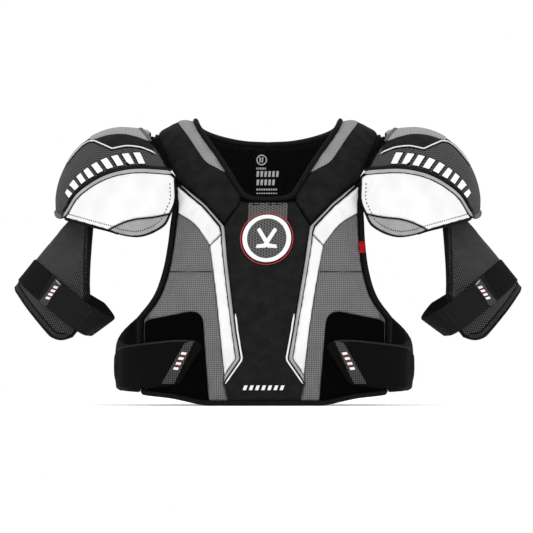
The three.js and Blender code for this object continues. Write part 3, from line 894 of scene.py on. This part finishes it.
# ---------- outlines of the wearer's left half, as [x, z] points seen from the front ----------
NECK_FRONT = curve([[101, 409], [93, 392], [66, 353], [37, 307], [31.5, 300.5], [25, 297], [13, 295.3],
                    [0, 294.7]])
NECK_BACK = curve([[101, 409], [93, 392], [72, 382], [35, 374], [0, 372]])
YOKE_SIDE = [[133, 322], [143, 343], [153, 366], [159, 388]]
YOKE_BEHIND = [[80, 376.5], [92, 350], [133, 334]]
ARMHOLE = [[132, 312], [131, 300], [135, 264], [138, 227], [144, 189], [155.5, 155], [177, 125]]
SIDE = [[177, 125], [177, 60], [174, 16.5]]
HEM = [[174, 16.5], [168, 14], [130, 9.5], [106, 4.5], [86, 0.3], [60, 0], [0, 0]]
VEST_EDGE = np.vstack([curve(ARMHOLE), resample(SIDE, 3)[1:], curve(HEM)[1:]])
INSIDE_EDGE = shifted(VEST_EDGE, -7.0)
TRIM_INNER = [[61, 254], [59.5, 246], [55.2, 206], [47.1, 149], [41.2, 106], [34.6, 67.5], [35, 65.5],
              [57.5, 33]]
TRIM_OUTER = [[66.5, 254], [64.4, 246], [63.4, 227], [60.6, 206], [52.6, 149], [46.1, 106], [40.4, 67.5],
              [40.8, 66], [56.5, 43]]
WHITE_OUTER = [[129, 273], [107, 260], [95.5, 248], [80.5, 226.5], [72.6, 177], [66.3, 131], [61, 85],
               [56.5, 43]]
LOOP_CORNER = [[87, 116], [90, 126], [97, 131.5], [106, 133]]


def lean(z):
    """How far the vest hangs to the wearer's right of the caps' middle, as it does in the photo."""
    return np.interp(z, [0, 60, 106, 149, 206, 248, 277], [5.5, 5.4, 5.0, 4.1, 2.6, 1.4, 0])


# ---------- the vest's front ----------
def build_front():
    neck_low = shifted(NECK_FRONT, 7.0)[-1]
    middle_low = [0.0, 7.0]
    inner = INSIDE_EDGE[(INSIDE_EDGE[:, 1] > 7.0) | (INSIDE_EDGE[:, 0] > 80)]
    tip = curve([[38, 288], [62, 254], [90, 286], [124, 313]])
    core = loop(both(np.vstack([[neck_low], [[26, 286]], tip, inner[2:-1], [middle_low]])), step=5)
    lining = pad("front_lining", WALL, WALL.front(core, 2), 5.4, 0.2, cell=9, edge=5, uneven=0.4)
    part(lining, "lining", nodes=["front_liner"], fill=0.3)
    foam = pad("front_foam", WALL, WALL.front(core, 9), 5.8, 12.6, cell=9, edge=4)
    part(foam, "foam", nodes=["front_foam_pad"], fill=0.95)

    centre = loop(both(np.vstack([[neck_low], [[26, 287]], [[38, 288]], resample(TRIM_INNER, 3), [[51, 7]],
                                  [middle_low]])))
    face = pad("center_panel", WALL, WALL.front(centre, 15), 12.8, 15.6, edge=3.5, crown=1.6, width=26,
               puff=2.5)
    part(face, "knit", fill=0.6, levels=1)

    top = [[126, 310.5], [92, 282], [67, 254.5]]
    trim = loop([[131, 318.5], [90, 285]], resample(TRIM_INNER, 3), resample(TRIM_OUTER, 3)[::-1], top)
    piece = pad("chest_trim_left", WALL, WALL.front(trim, 16), 12.9, 17.0, cell=3, edge=1.8)
    part(piece, "silver", levels=1)
    white = loop([[129, 311], [92.5, 280.5], [67.6, 253], [65.2, 243]], [[80.5, 227]],
                 curve([[80.5, 227], [95.5, 248], [107, 260], [127, 272]]), [[127, 280]])
    piece = pad("upper_chest_overlay_left", WALL, WALL.front(white, 16), 12.9, 16.9, cell=3.5, edge=2.4,
                crown=1.0, puff=1.6)
    part(piece, "white_skin", fill=0.7, levels=1)
    white = loop([[80.1, 226.2], [64.8, 242]], resample(TRIM_OUTER[2:], 3), curve(WHITE_OUTER[:2:-1]))
    piece = pad("lower_chest_overlay_left", WALL, WALL.front(white, 16), 12.9, 16.9, cell=3.5, edge=2.4,
                crown=0.8, width=10, puff=1.4)
    part(piece, "white_skin", fill=0.7, levels=1)

    outer = INSIDE_EDGE[(INSIDE_EDGE[:, 1] < 272) & (INSIDE_EDGE[:, 1] > 119)]
    outer = outer[:int(np.argmax(outer[:, 0] > 164)) or None]
    panel = loop(curve(WHITE_OUTER[1:]), [[58, 33], [52, 7.2], [78, 7.2]], [[78.7, 8], [87, 116]],
                 curve(LOOP_CORNER), [[164, 121.5]], outer[::-1], [[125, 271]])
    seam = WALL.front(resample([[74.6, 189.5], [141, 189.5]], 3), 15)
    piece = pad("chest_mesh_panel_left", WALL, WALL.front(panel, 15), 12.6, 15.2, edge=3, crown=0.9,
                width=20, seams=[seam], groove=1.3, puff=2.2)
    part(piece, "grey_mesh", fill=0.5, levels=1)
    path = WALL.front(resample([[75.5, 189.5], [138, 189.5]], 3), 15)
    piece = tape("chest_mesh_seam_left", WALL, path, cordon(0.6, 14.6))
    part(piece, "black_cord", slot="grey_mesh")
    hem = INSIDE_EDGE[(INSIDE_EDGE[:, 1] < 120) & (INSIDE_EDGE[:, 0] > 79)]
    patch = loop([[78.7, 8], [87, 116]], curve(LOOP_CORNER), [[164, 121.5]], hem)
    piece = pad("waist_loop_patch_left", WALL, WALL.front(patch, 15), 12.6, 15.8, edge=1.6, uneven=0.2)
    part(piece, "loop_pile")


def build_front_edges():
    """The bound edges, the collar mesh, the badge and the red tag."""
    roll = oval(4.2, 8.9, -4.6, 8.2)
    hem = np.vstack([curve(HEM), (curve(HEM) * [-1, 1])[::-1][1:]])
    piece = tape("front_hem_binding", WALL, WALL.front(hem, 9), roll)
    part(piece, "binding")
    side = np.vstack([curve(ARMHOLE), resample([[177, 125], [177, 60], [175, 22]], 3)[1:]])
    piece = tape("armhole_binding_left", WALL, WALL.front(side, 9), roll)
    part(piece, "binding")
    skins = [MADE[n] for n in ("chest_trim_left", "upper_chest_overlay_left", "lower_chest_overlay_left",
                               "center_panel")]
    outer_line = np.vstack([resample([[129, 312.2], [92, 281.2], [67, 253.6]], 3)[:-1],
                            resample(TRIM_OUTER[1:], 3)])
    inner_line = shifted(resample(TRIM_INNER, 3), -3.0)
    accent = inner_line[inner_line[:, 1] < 133]
    lines = [("chest_outer_cord_left", outer_line, 1.1, "black_cord", "black_binding"),
             ("chest_inner_cord_left", shifted(resample(TRIM_INNER, 3), -0.4), 0.9, "black_cord",
              "black_binding"), ("chest_accent_line_left", accent, 1.0, "print_white", "white_overlay")]
    for name, path, radius, shade, slot in lines:
        piece = tape(name, WALL, WALL.front(path, 16.5), cordon(radius, 0.25), on=skins)
        part(piece, shade, slot=slot)
    window = loop([[28, 240], [28, 287.2], [-28, 287.2], [-28, 240]], circle(0, 235.9, 28.8, 168, 372))
    piece = pad("center_mesh_inset", WALL, WALL.front(window, 17), -0.6, 0.7, cell=4, edge=1.2, uneven=0,
                on=[MADE["center_panel"]])
    part(piece, "honeycomb")
    base = [MADE["center_panel"]]
    ring = WALL.front(circle(0, 235.9, 30.9, steps=72), 17)
    piece = tape("badge_ring", WALL, ring, oval(2.8, 1.5, 0, 0.8, 3.2, 12), closed=True, on=base)
    part(piece, "print_white")
    ring = WALL.front(circle(0, 235.9, 36.8, steps=72), 17)
    piece = tape("badge_red_ring", WALL, ring, oval(0.55, 0.8, 0, 0.5, 2.2, 8), closed=True, on=base)
    part(piece, "print_red")
    for k, sign in enumerate((-1, 1)):
        stick = np.array([[-14.5, 12], [-10, 15.5], [4.5, -7.5], [14, -9], [15, -14], [1, -13.5]])
        outline = loop(stick * [sign, 1] + [0, 235.9], step=2)
        piece = pad(f"badge_stick_{k + 1}", WALL, WALL.front(outline, 17), -0.2, 0.8 + 0.4 * k, cell=2.6,
                    edge=0.6, uneven=0, on=[MADE["center_mesh_inset"]])
        part(piece, "print_white")
    marks = [WALL.front(g.reshape(-1, 2), 16).reshape(g.shape)
             for g in strokes([[-30, 22.5], [32, 22.5]], 7, 4.6, 8.6, 0, 6.6, 0.35)]
    piece = blocks("hem_print", WALL, marks, base, -0.3, 0.45)
    part(piece, "print_white", slot="white_overlay")
    tag = loop([[130.5, 232.5], [139.5, 232.5], [139.5, 216], [132, 216]], step=2)
    piece = pad("red_tag", WALL, WALL.front(tag, 17), -0.5, 1.1, cell=2.6, edge=0.7, uneven=0,
                on=[MADE["armhole_binding_left"]], floor=15.8)
    part(piece, "red_label")


# ---------- neck and yokes ----------
def build_yokes():
    front = shifted(NECK_FRONT, 5.0)
    front = front[front[:, 1] > 299]
    side = curve(YOKE_SIDE)
    ahead = np.vstack([front, curve([[40, 296], [38.5, 287], [50, 270]])[1:], [[62, 254]],
                       resample([[62, 254], [90, 286], [133, 322]], 3)[1:], side[1:]])
    behind_neck = shifted(NECK_BACK, 5.0)
    behind_neck = behind_neck[behind_neck[:, 0] > 81]
    behind = np.vstack([behind_neck, curve(YOKE_BEHIND), resample([[133, 334], [143, 343]], 3)[1:],
                        side[side[:, 1] > 345]])
    ring = loop(YOKE.front(ahead, 12), YOKE.back(behind, 12)[::-1])
    piece = pad("yoke_pad_left", YOKE, ring, 0.6, 15.2, edge=9, crown=3.0, width=30, puff=5,
                uneven=0.5, wrinkle=0.5, rim_at=0.55)
    part(piece, "knit", fill=0.85, levels=1)


def build_neck():
    yoke = MADE["yoke_pad_left"]
    path = [YOKE.front(NECK_FRONT, 9), YOKE.front((NECK_FRONT * [-1, 1])[::-1], 9)[1:],
            YOKE.back(NECK_BACK * [-1, 1], 9)[1:], YOKE.back(NECK_BACK[::-1], 9)[1:-1]]
    piece = tape("neck_binding", YOKE, np.vstack(path), oval(3.3, 5.4, 3.2, 9.6), closed=True)
    part(piece, "binding")
    inner = shifted(NECK_FRONT, 6.2)
    inner = inner[inner[:, 1] > 331]
    outer = curve([[64.5, 332], [88, 345], [98, 358], [114, 382], [128, 400]])
    back_inner = shifted(NECK_BACK, 6.2)
    back_inner = back_inner[back_inner[:, 0] > 92]
    back_outer = curve([[92, 385], [98, 380], [120, 396], [128, 403]])
    ring = loop(YOKE.front(inner, 18), YOKE.front(outer, 18), YOKE.back(back_outer[::-1], 18),
                YOKE.back(back_inner[::-1], 18))
    piece = pad("yoke_mesh_strip_left", YOKE, ring, -0.8, 0.9, cell=3.5, edge=1.2, uneven=0, on=[yoke])
    part(piece, "light_mesh", levels=1)
    side = np.array([[140, 334], [147, 348], [154, 366], [159, 390]])
    rolls = [(8, 15, 3, 5), (0, 3.6, 11, 4.2), (7, 4.0, 11.5, 4.4), (13.5, 3.6, 9.5, 4.2)]
    for k, (aside, half, up, tall) in enumerate(rolls):
        low = side + [aside, 0]
        path = np.vstack([YOKE.front(curve(low), 12), YOKE.back(curve(low)[::-1], 12)[1:]])
        name = f"cap_bridge_fold_{k}_left" if k else "cap_bridge_strap_left"
        piece = tape(name, YOKE, path, oval(half, tall, 0, up, 2.3), ends=0.5)
        part(piece, "elastic", "bridge_left", levels=1)


# ---------- the vest's back, wings and side straps ----------
BACK_ARMHOLE = [[131, 333], [129, 300], [132, 264], [136, 227], [142, 189], [152, 158], [173, 131]]
BACK_HEM = [[173, 20], [112, 6], [90, 0.3], [60, 0], [0, 0]]
SIDE_STRAP_LOW = [[25, 82], [35, 30], [48, 25], [68, 25], [79, 29], [86, 37], [90, 48]]
SIDE_STRAP_HIGH = [[25, 86], [28, 94], [37, 94], [70, 84.5], [80, 79], [86, 71], [90, 60]]
WING_LOW = [[60, 24], [76, 20.5], [85, 20], [92, 21], [104, 19], [119, 17]]
WING_HIGH = [[60, 82], [90, 92], [100, 103], [112, 118], [119, 128]]


SPINE = curve([[34, 352], [38, 300], [52, 230], [46, 120], [30, 12]])
BACK_QUILTING = [SPINE] + [resample(rung, 4) for rung in (
    [[47, 262], [122, 272]], [[53, 200], [132, 208]], [[48, 138], [152, 142]], [[41, 78], [160, 78]])]


def span(edge, start, end, step=2.0):
    """The part of a [turn, height] edge between two turns."""
    edge = np.asarray(edge, float)
    turns = np.linspace(start, end, max(2, round(abs(end - start) / step)))
    return np.stack([turns, np.interp(turns, *edge.T)], 1)


def build_back():
    edge = np.vstack([curve(BACK_ARMHOLE), resample([[173, 131], [173, 20]], 3)[1:], curve(BACK_HEM)[1:]])
    inner = shifted(edge, -7.0)
    inner = inner[(inner[:, 1] > 7.0) & (inner[:, 1] < 331)]
    below_neck = shifted(NECK_BACK, 7.0)
    below_neck = below_neck[below_neck[:, 0] < 78][::-1]
    core = loop(both(np.vstack([below_neck, curve(YOKE_BEHIND), inner[1:], [[0, 7]]])), step=5)
    seam = WALL.back(resample([[0, 362], [0, 12]], 4), 2)
    piece = pad("back_lining", WALL, WALL.back(core, 2), 5.4, 0.2, cell=7, edge=5, uneven=0.2,
                seams=[seam], groove=1.4, crown=0.8)
    part(piece, "lining", nodes=["back_liner"], fill=0.3, levels=1)
    piece = pad("back_foam", WALL, WALL.back(core, 9), 5.8, 12.6, cell=9, edge=4)
    part(piece, "foam", nodes=["back_foam_pad"], fill=0.95)
    path = WALL.back(curve([[76, 380], *YOKE_BEHIND, [137, 338]]), 8)
    piece = tape("yoke_back_seam_left", WALL, path, oval(3.0, 5.5, 0, 7.5))
    part(piece, "binding")
    lines = [WALL.back(path * [sign, 1], 15) for sign in (-1, 1) for path in BACK_QUILTING]
    piece = pad("back_cover", WALL, WALL.back(core, 15), 12.8, 15.0, cell=5, edge=4, crown=2.0, width=22,
                seams=lines, groove=2.4, puff=3.5)
    part(piece, "knit", fill=0.75, levels=1)
    path = np.vstack([edge, (edge * [-1, 1])[::-1][1:]])
    piece = tape("back_binding", WALL, WALL.back(path, 9), oval(4.2, 8.9, 4.6, 8.2))
    part(piece, "binding")
    wing = loop(span(WING_HIGH, 68, 118.8), span(WING_LOW, 118.8, 73), [[70, 27], [68, 40]], step=1.5)
    piece = pad("side_wing_left", WALL, loop(WALL.turned(wing)), 1.2, 12.0, edge=6, crown=1.4,
                width=18, puff=3, cell=5, rim_at=0.5)
    part(piece, "knit", fill=0.8, levels=1)


def build_back_print():
    """The printed ring and rows of marks inside the back, where the size is given."""
    def inward(path):
        return WALL.back(path, -0.6)

    ring = tape("inner_print_ring", WALL, inward(circle(-9, 349, 6.8, steps=36)), oval(0.75, 0.35, 0, -0.95),
                closed=True)
    part(ring, "print_white")
    rows = [(335.5, 2.6, 6, 2.4, 1.5), (325, 8.0, 6, 5.6, 3.4), (313, 8.0, 5, 5.6, 3.4),
            (305.5, 2.6, 9, 3.4, 2.2), (300.5, 1.6, 9, 3.4, 2.4), (352.5, -7.0, 2, 3.6, 2.0)]
    marks = []
    for z, tall, count, pitch, wide in rows:
        start = -16.6 if tall > 0 else -12.2
        for grid in strokes([[start, z], [start + 60, z]], count, wide, pitch, 0, tall, 0.1):
            marks.append(inward(grid.reshape(-1, 2)).reshape(grid.shape))
    piece = blocks("inner_print", WALL, marks, None, -0.5, -1.15)
    part(piece, "print_white")


def build_back_stitches():
    """A row of stitches on each side of every quilting seam of the back."""
    cover = MADE["back_cover"]
    for k, path in enumerate(BACK_QUILTING):
        for side in (-1, 1):
            line = WALL.back(shifted(path, 3.2 * side), 15)
            name = f"back_stitches_{k}{'ab'[side > 0]}_left"
            part(stitches(name, WALL, line, [cover], pitch=5.0, length=3.4, thick=0.5), "grey_thread")


def build_side_straps():
    wing = MADE["side_wing_left"]
    patch = MADE["waist_loop_patch_left"]
    ring = loop(WALL.turned(np.vstack([
        curve(span(SIDE_STRAP_HIGH, 25, 90)), span(SIDE_STRAP_LOW, 90, 25)])), step=3)

    def settled(points):
        return 17.6 - 3.4 * smoothstep(points[:, 0], math.radians(68) * WALL.ARC, math.radians(80) * WALL.ARC)

    strap = pad("side_strap_left", WALL, ring, -0.9, 1.3, edge=0.9, uneven=0.3, cell=4.5, on=[wing, patch],
                floor=settled, wrinkle=0.25)
    part(strap, "elastic", "side_strap_root_left", levels=1)
    tab = loop([[98.5, 92.5], [112.5, 89.5], [145.5, 31], [127, 31]], step=3)
    piece = pad("side_strap_tab_left", WALL, WALL.front(tab, 20), -0.2, 1.5, cell=3, edge=0.8, uneven=0.1,
                on=[strap], floor=18.6)
    part(piece, "woven_tab", "side_strap_flap_left", levels=1)
    edge = WALL.turned(span(SIDE_STRAP_HIGH, 28, 78)) - [0, 2.2]
    row = tape("side_strap_edge_left", WALL, edge, oval(1.3, 0.5, 0, 0.2), on=[strap])
    part(row, "dark_thread", "side_strap_flap_left")
    line = WALL.front([[110.5, 80], [130, 42]], 21)
    for shade, grow in (("print_red", 0.9), ("print_white", 0.0)):
        marks = strokes(line, 4, 3.6 + grow, 7.8, -2.9 - grow / 2, 2.9 + grow / 2, 0.3, 4.0 - grow / 2)
        row = blocks(f"side_tab_{shade}_left", WALL, marks, [piece], -0.2, 0.5 - grow * 0.25)
        part(row, shade, "side_strap_flap_left")


# ---------- shoulder caps ----------
CAP_LOW = [[131.5, 316], [131, 297], [133, 284], [139, 271], [146, 257], [160, 247], [175, 241], [189, 239],
           [209, 242], [226, 248], [287, 265], [300, 268]]
CAP_HIGH = [[168, 374], [155, 359], [142, 336], [132, 325]]
CAP_EDGE = np.vstack([curve(CAP_HIGH), curve(CAP_LOW)])
CAP_LENS = [[226, 248], [209, 256.5], [189, 263], [160, 266.5], [139, 271]]
CAP_PALE = [[250, 372], [243, 374], [226, 379], [206, 380.6], [189, 378], [169, 373.5]]
CAP_LINE = [[285, 339], [267, 361], [254, 371], [244, 372], [220, 361], [199, 365], [180, 363], [159, 356],
            [153, 359]]


def build_caps():
    body = "cap_left"
    low = curve(CAP_LOW)
    edge = loop(CAP.front(CAP_EDGE), CAP.back(CAP_EDGE[::-1]), step=5)
    piece = pad("cap_lining_left", CAP, edge, -6.6, -12.2, cell=7, edge=4, crown=1.2, uneven=0.5)
    part(piece, "lining", body, slot="foam", nodes=["cap_foam_left"], fill=0.7, levels=1)
    corner = curve([[289, 269], [283, 277], [270, 297], [248, 314], [226, 325], [203, 331], [180, 333],
                    [146, 331], [136, 330]])
    ahead = np.vstack([curve(CAP_HIGH)[:-3], corner[::-1], [[295, 271], [300, 272.5]]])
    behind = np.vstack([CAP_EDGE[:-1], [[300, 270]]])
    ring = loop(CAP.front(ahead), CAP.back(behind[::-1]), step=4)
    piece = pad("cap_cover_left", CAP, ring, -2.4, 0.2, edge=3, crown=1.0, width=20, uneven=0.3, puff=2.5)
    part(piece, "ribbed_mesh", body, fill=0.6, levels=1)
    below = shifted(corner, 2.4)
    start = low[(low[:, 0] < 140) & (low[:, 1] > 271)]
    end = low[(low[:, 0] > 226) & (low[:, 0] < 289)]
    white = loop(below[below[:, 0] > 134][:-1], [[131.8, 322]], start, curve(CAP_LENS[::-1]), end)
    piece = pad("cap_panel_left", CAP, CAP.front(white), -2.4, 0.6, edge=4, crown=1.6, width=26, puff=3)
    part(piece, "white_skin", body, fill=0.8, levels=1)
    lens = loop(curve(CAP_LENS), low[(low[:, 0] > 138.5) & (low[:, 0] < 226.5) & (low[:, 1] < 272)])
    piece = pad("cap_lens_left", CAP, CAP.front(lens), -2.4, 0.3, cell=4, edge=3, crown=0.8, width=14,
                puff=1.5)
    part(piece, "lens_skin", body, fill=0.7, levels=1)
    return corner


def build_cap_details(corner):
    body = "cap_left"
    cover, panel, lens = (MADE[f"cap_{n}_left"] for n in ("cover", "panel", "lens"))
    skins = [cover, panel, lens]
    line = curve(CAP_LINE[:4])
    line = np.vstack([line, resample(CAP_LINE[3:5], 3)[1:], curve(CAP_LINE[4:8])[1:]])
    band = loop(CAP.front(line), CAP.front([[162, 364], [168, 373]]), CAP.back([[168, 373], [162, 364]]),
                CAP.back(line[::-1]), step=3.5)
    piece = pad("cap_band_left", CAP, band, -0.6, 0.9, cell=4, edge=1.2, uneven=0, on=[cover])
    part(piece, "knit", body, levels=1)
    pale = curve(CAP_PALE)
    ring = loop(CAP.front(pale), CAP.back(pale[::-1]), step=3.5)
    top = pad("cap_top_mesh_left", CAP, ring, -0.4, 1.6, cell=4, edge=1.6, uneven=0, crown=0.5, on=[piece])
    part(top, "top_mesh", body, levels=1)
    for k, (drop, radius, shade) in enumerate(((0, 0.95, "print_white"), (2.2, 0.7, "black_cord"))):
        path = CAP.front(shifted(line, drop))
        piece = tape(f"cap_line_{k + 1}_left", CAP, path, cordon(radius, 0.3), on=[cover, piece])
        part(piece, shade, body, slot="white_overlay" if k == 0 else "black_binding")
    path = CAP.front(corner)
    piece = tape("cap_trim_left", CAP, path, oval(2.5, 1.5, 1.2, 0.4, 3.0), on=skins)
    part(piece, "silver", body)
    for k, aside in enumerate((-2.0, 4.0)):
        path = CAP.front(shifted(corner, aside))
        piece = tape(f"cap_trim_cord_{k + 1}_left", CAP, path, cordon(0.85, 0.4), on=skins)
        part(piece, "black_cord", body)
    band = shifted(corner, -4.4)
    piece = tape("cap_black_band_left", CAP, CAP.front(band), oval(2.2, 0.9, 0, 0.1, 3.0), on=skins)
    part(piece, "knit", body, slot="black_binding")
    line = CAP.front(corner[::-1])
    for shade, grow in (("black_cord", 2.6), ("print_white", 0.0)):
        marks = strokes(line, 9, 9.4 + grow, 15.8, 8.6 - grow / 2, 24.5 + grow / 2, 0.42, 39 - grow / 2)
        piece = blocks(f"cap_print_{shade}_left", CAP, marks, skins, -0.4, 0.75 - grow * 0.13)
        part(piece, shade, body)
    roll = curve([[166, 373], [173, 380], [181, 387.2]])
    path = np.vstack([CAP.front(roll), CAP.back(roll[::-1])])
    piece = tape("cap_top_roll_left", CAP, resample(path, 3.5), oval(3.4, 2.8, 0, 1.2, 2.3), on=skins)
    part(piece, "grey_binding", body, levels=1)
    path = np.vstack([CAP.front([[292, 267.5], [297, 269]]), CAP.back([[300, 270], [292, 268]])])
    piece = tape("cap_corner_roll_left", CAP, curve(path, 3), oval(4.4, 3.6, 0.0, -0.6, 2.2), ends=0.4)
    part(piece, "grey_binding", body, levels=1)
    piece = tape("cap_lens_cord_left", CAP, CAP.front(curve(CAP_LENS)), cordon(0.9, 0.3), on=skins)
    part(piece, "black_cord", body)
    whole = loop(CAP.front(CAP_EDGE), CAP.back(CAP_EDGE[::-1]), step=3.5)
    piece = tape("cap_edge_binding_left", CAP, whole, oval(1.6, 6.6, 0.4, -6.2), closed=True)
    part(piece, "binding", body)
    inset = shifted(resample(CAP_LOW, 2), 7.0)
    inset = inset[(inset[:, 1] < 322) & (inset[:, 0] < 284)]
    piece = stitches("cap_panel_stitches_left", CAP, CAP.front(inset), skins, pitch=5.0, length=3.2,
                     thick=0.85)
    part(piece, "dark_thread", body, slot="white_overlay")
    under = curve(CAP_LOW)
    under = under[(under[:, 0] > 205) & (under[:, 0] < 292)]
    swell = np.interp(under[:, 0], [205, 245, 292], [0.5, -1.2, -2.2])
    piece = tape("cap_under_roll_left", CAP, CAP.front(shifted(under, swell)), oval(2.2, 4.6, 0, -5.2))
    part(piece, "binding", body)


# ---------- upper arms ----------
GUARD_LOW = [[-36, -34], [-27, -46], [-16, -51], [-6, -50], [25, -43], [52, -36.5], [66, -34], [90, -30],
             [150, -26]]
GUARD_HIGH = [[-36, -24], [-20, 23.6], [-10, 38], [0, 52.7], [10, 67.5], [20, 82], [32, 98], [42, 109.5],
              [52, 114], [60, 114], [90, 100], [150, 58]]
STRAP_LOW = [[-214, -25], [-90, -17], [-30, -25], [26, -24], [104, -20]]
STRAP_HIGH = [[-214, 20], [-140, 31], [-90, 23], [-30, 17], [-20, 16], [31, 18], [104, 18]]


def arm_ring(low, high, start, end, step=3.0):
    return loop(ARM.turned(span(high, start, end)), ARM.turned(span(low, end, start)), step=step)


def taper(points):
    """The strap's free loop narrows downwards, as it does round a forearm."""
    turn = np.degrees(points[:, 0] / ARM_RADIUS)
    free = smoothstep(-turn, 38, 75) * (1 - smoothstep(-turn, 150, 200))
    return -free * np.clip(21 - points[:, 1], 0, 50) * 0.27


def build_arms():
    low, high = curve(GUARD_LOW), curve(GUARD_HIGH)
    ring = loop(ARM.turned(high), ARM.turned(low[::-1]), step=4)
    piece = pad("arm_guard_pad_left", ARM, ring, -7.6, -1.6, edge=5, crown=1.0, width=18, puff=1.4)
    part(piece, "guard_mesh", "arm_guard_left", fill=0.6, levels=1)
    piece = pad("arm_guard_lining_left", ARM, ring, -8.0, -12.8, cell=7, edge=4, crown=0.8, uneven=0.4)
    part(piece, "lining", "arm_guard_left", fill=0.5, levels=1)


def build_arm_details():
    guard = MADE["arm_guard_pad_left"]
    body = "arm_guard_left"
    low, high = curve(GUARD_LOW, 1.5), curve(GUARD_HIGH, 1.5)
    whole = loop(ARM.turned(high), ARM.turned(low[::-1]), step=3.5)
    piece = tape("arm_guard_binding_left", ARM, whole, oval(2.6, 6.8, 0.0, -6.6), closed=True)
    part(piece, "binding", body)
    edge = high[(high[:, 0] > -35) & (high[:, 0] < 41)]
    strip = loop(ARM.turned(edge), ARM.turned(edge + [1.0, -1.0])[::-1] + [5.2, -3.6], step=3)
    piece = pad("arm_guard_facing_left", ARM, strip, -0.3, 0.7, cell=3.5, edge=0.7, uneven=0, on=[guard])
    part(piece, "arm_elastic", body, slot="dark_mesh", levels=1)
    edge = low[(low[:, 0] > -33) & (low[:, 0] < 100)]
    edge = ARM.turned(edge)
    for name, aside, section, shade in (("arm_guard_hem", 3.6, oval(3.4, 1.1, 0, 0.2, 3.0), "guard_binding"),
                                        ("arm_guard_hem_cord", 7.6, cordon(0.8, 0.2), "black_cord")):
        piece = tape(name + "_left", ARM, shifted(edge, aside), section, on=[guard])
        part(piece, shade, body, slot="black_binding")
    patch = pad("arm_loop_patch_left", ARM, arm_ring(STRAP_LOW, STRAP_HIGH, 8, 104), -0.3, 2.0, edge=1.2,
                on=[guard], floor=0.5, uneven=0.2)
    part(patch, "arm_pile", body)
    back = pad("arm_strap_return_left", ARM, arm_ring(STRAP_LOW, STRAP_HIGH, -214, -32.2), -0.2, 1.6,
               edge=0.8, on=[guard], floor=0.9, uneven=0.2, lift=taper)
    part(back, "arm_elastic", body, levels=1)
    flap = "arm_strap_flap_left"
    high, low = span(STRAP_HIGH, -31.4, 31), span(STRAP_LOW, 26, -31.4)
    strap = pad("arm_strap_left", ARM, loop(ARM.turned(high), ARM.turned(low)), -0.3, 1.8, edge=0.9,
                on=[guard, patch], floor=2.9, uneven=0.2)
    part(strap, "arm_elastic", flap, levels=1)
    ring = loop(ARM.turned([[14.5, 15.5], [24, 17]]), ARM.turned([[22, -24.5], [12.5, -24]]), step=3)
    tab = pad("arm_strap_tab_left", ARM, ring, -0.2, 1.3, cell=3, edge=0.7, uneven=0, on=[strap], floor=4.9)
    part(tab, "woven_tab", flap, levels=1)
    for shade, grow in (("print_red", 0.7), ("print_white", 0.0)):
        line = ARM.turned([[16.2, -17], [17.6, 10]])
        marks = strokes(line, 4, 3.4 + grow, 6.2, -2.6 - grow / 2, 2.6 + grow / 2, 0.35, 1.5 - grow / 2)
        piece = blocks(f"arm_tab_{shade}_left", ARM, marks, [tab], -0.2, 0.5 - grow * 0.3, floor=5.6)
        part(piece, shade, flap)
    line = ARM.turned([[15.3, 12.5], [22.5, 14.0]])
    piece = tape("arm_tab_line_left", ARM, resample(line, 2), oval(0.45, 0.35, 0, 0.15), on=[tab], floor=5.6)
    part(piece, "print_white", flap)
    for end in (-31.0, -32.6):
        low, high = (float(np.interp(end, *np.array(e).T)) for e in (STRAP_LOW, STRAP_HIGH))
        row = tape(f"arm_seam_{'front' if end > -32 else 'back'}_left", ARM,
                   resample(ARM.turned([[end, low + 2], [end, high - 2]]), 3), oval(0.6, 0.5, 0, 0.1),
                   on=[strap if end > -32 else back])
        part(row, "dark_thread", flap if end > -32 else body)


# ---------- the scene ----------
build_front()
build_yokes()
build_back()
cap_corner = build_caps()
build_arms()
inflate()
build_front_edges()
build_neck()
build_back_print()
build_back_stitches()
build_side_straps()
build_cap_details(cap_corner)
build_arm_details()
dress()
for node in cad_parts.values():
    if any(word in node.name for word in ("plate", "shell")):
        node.data.materials.clear()
        node.data.materials.append(LOOKS["plastic"])


def build_stage():
    bpy.context.scene.view_settings.view_transform = "Standard"
    floor = bpy.data.meshes.new("floor")
    floor.from_pydata([(-6, -4, 0), (6, -4, 0), (6, 1.5, 0), (-6, 1.5, 0)], [], [(0, 1, 2, 3)])
    ground = added("floor", floor)
    paint = bpy.data.materials.new("floor")
    paint.use_nodes = True
    shader = paint.node_tree.nodes["Principled BSDF"]
    for entry, value in (("Base Color", grey(0.97)), ("Roughness", 0.95), ("Emission Color", grey(1.0)),
                         ("Emission Strength", 0.3), ("Specular IOR Level", 0.0)):
        shader.inputs[entry].default_value = value
    floor.materials.append(paint)
    world = bpy.data.worlds.new("studio")
    bpy.context.scene.world = world
    world.use_nodes = True
    world.node_tree.nodes["Background"].inputs[0].default_value = (1, 1, 1, 1)
    world.node_tree.nodes["Background"].inputs[1].default_value = 1.0
    for name, spot, size, power in (("key", (-1.6, -3.0, 2.6), 2.0, 12), ("fill", (2.0, -2.6, 1.2), 2.0, 6),
                                    ("top", (0.0, 0.2, 2.8), 2.0, 7)):
        light = bpy.data.lights.new(name, "AREA")
        light.energy, light.size = power, size
        lamp = added(name, light)
        lamp.location = spot
        lamp.rotation_euler = (Vector((0, 0, 0.2)) - Vector(spot)).to_track_quat("-Z", "Y").to_euler()
    view = bpy.data.cameras.new("camera")
    view.lens, view.clip_end = 800, 60
    camera = added("camera", view)
    width = 0.757
    camera.location = (-0.0021, -width * view.lens / view.sensor_width, 0.1967)
    camera.rotation_euler = (math.pi / 2, 0, 0)
    bpy.context.scene.camera = camera


build_stage()
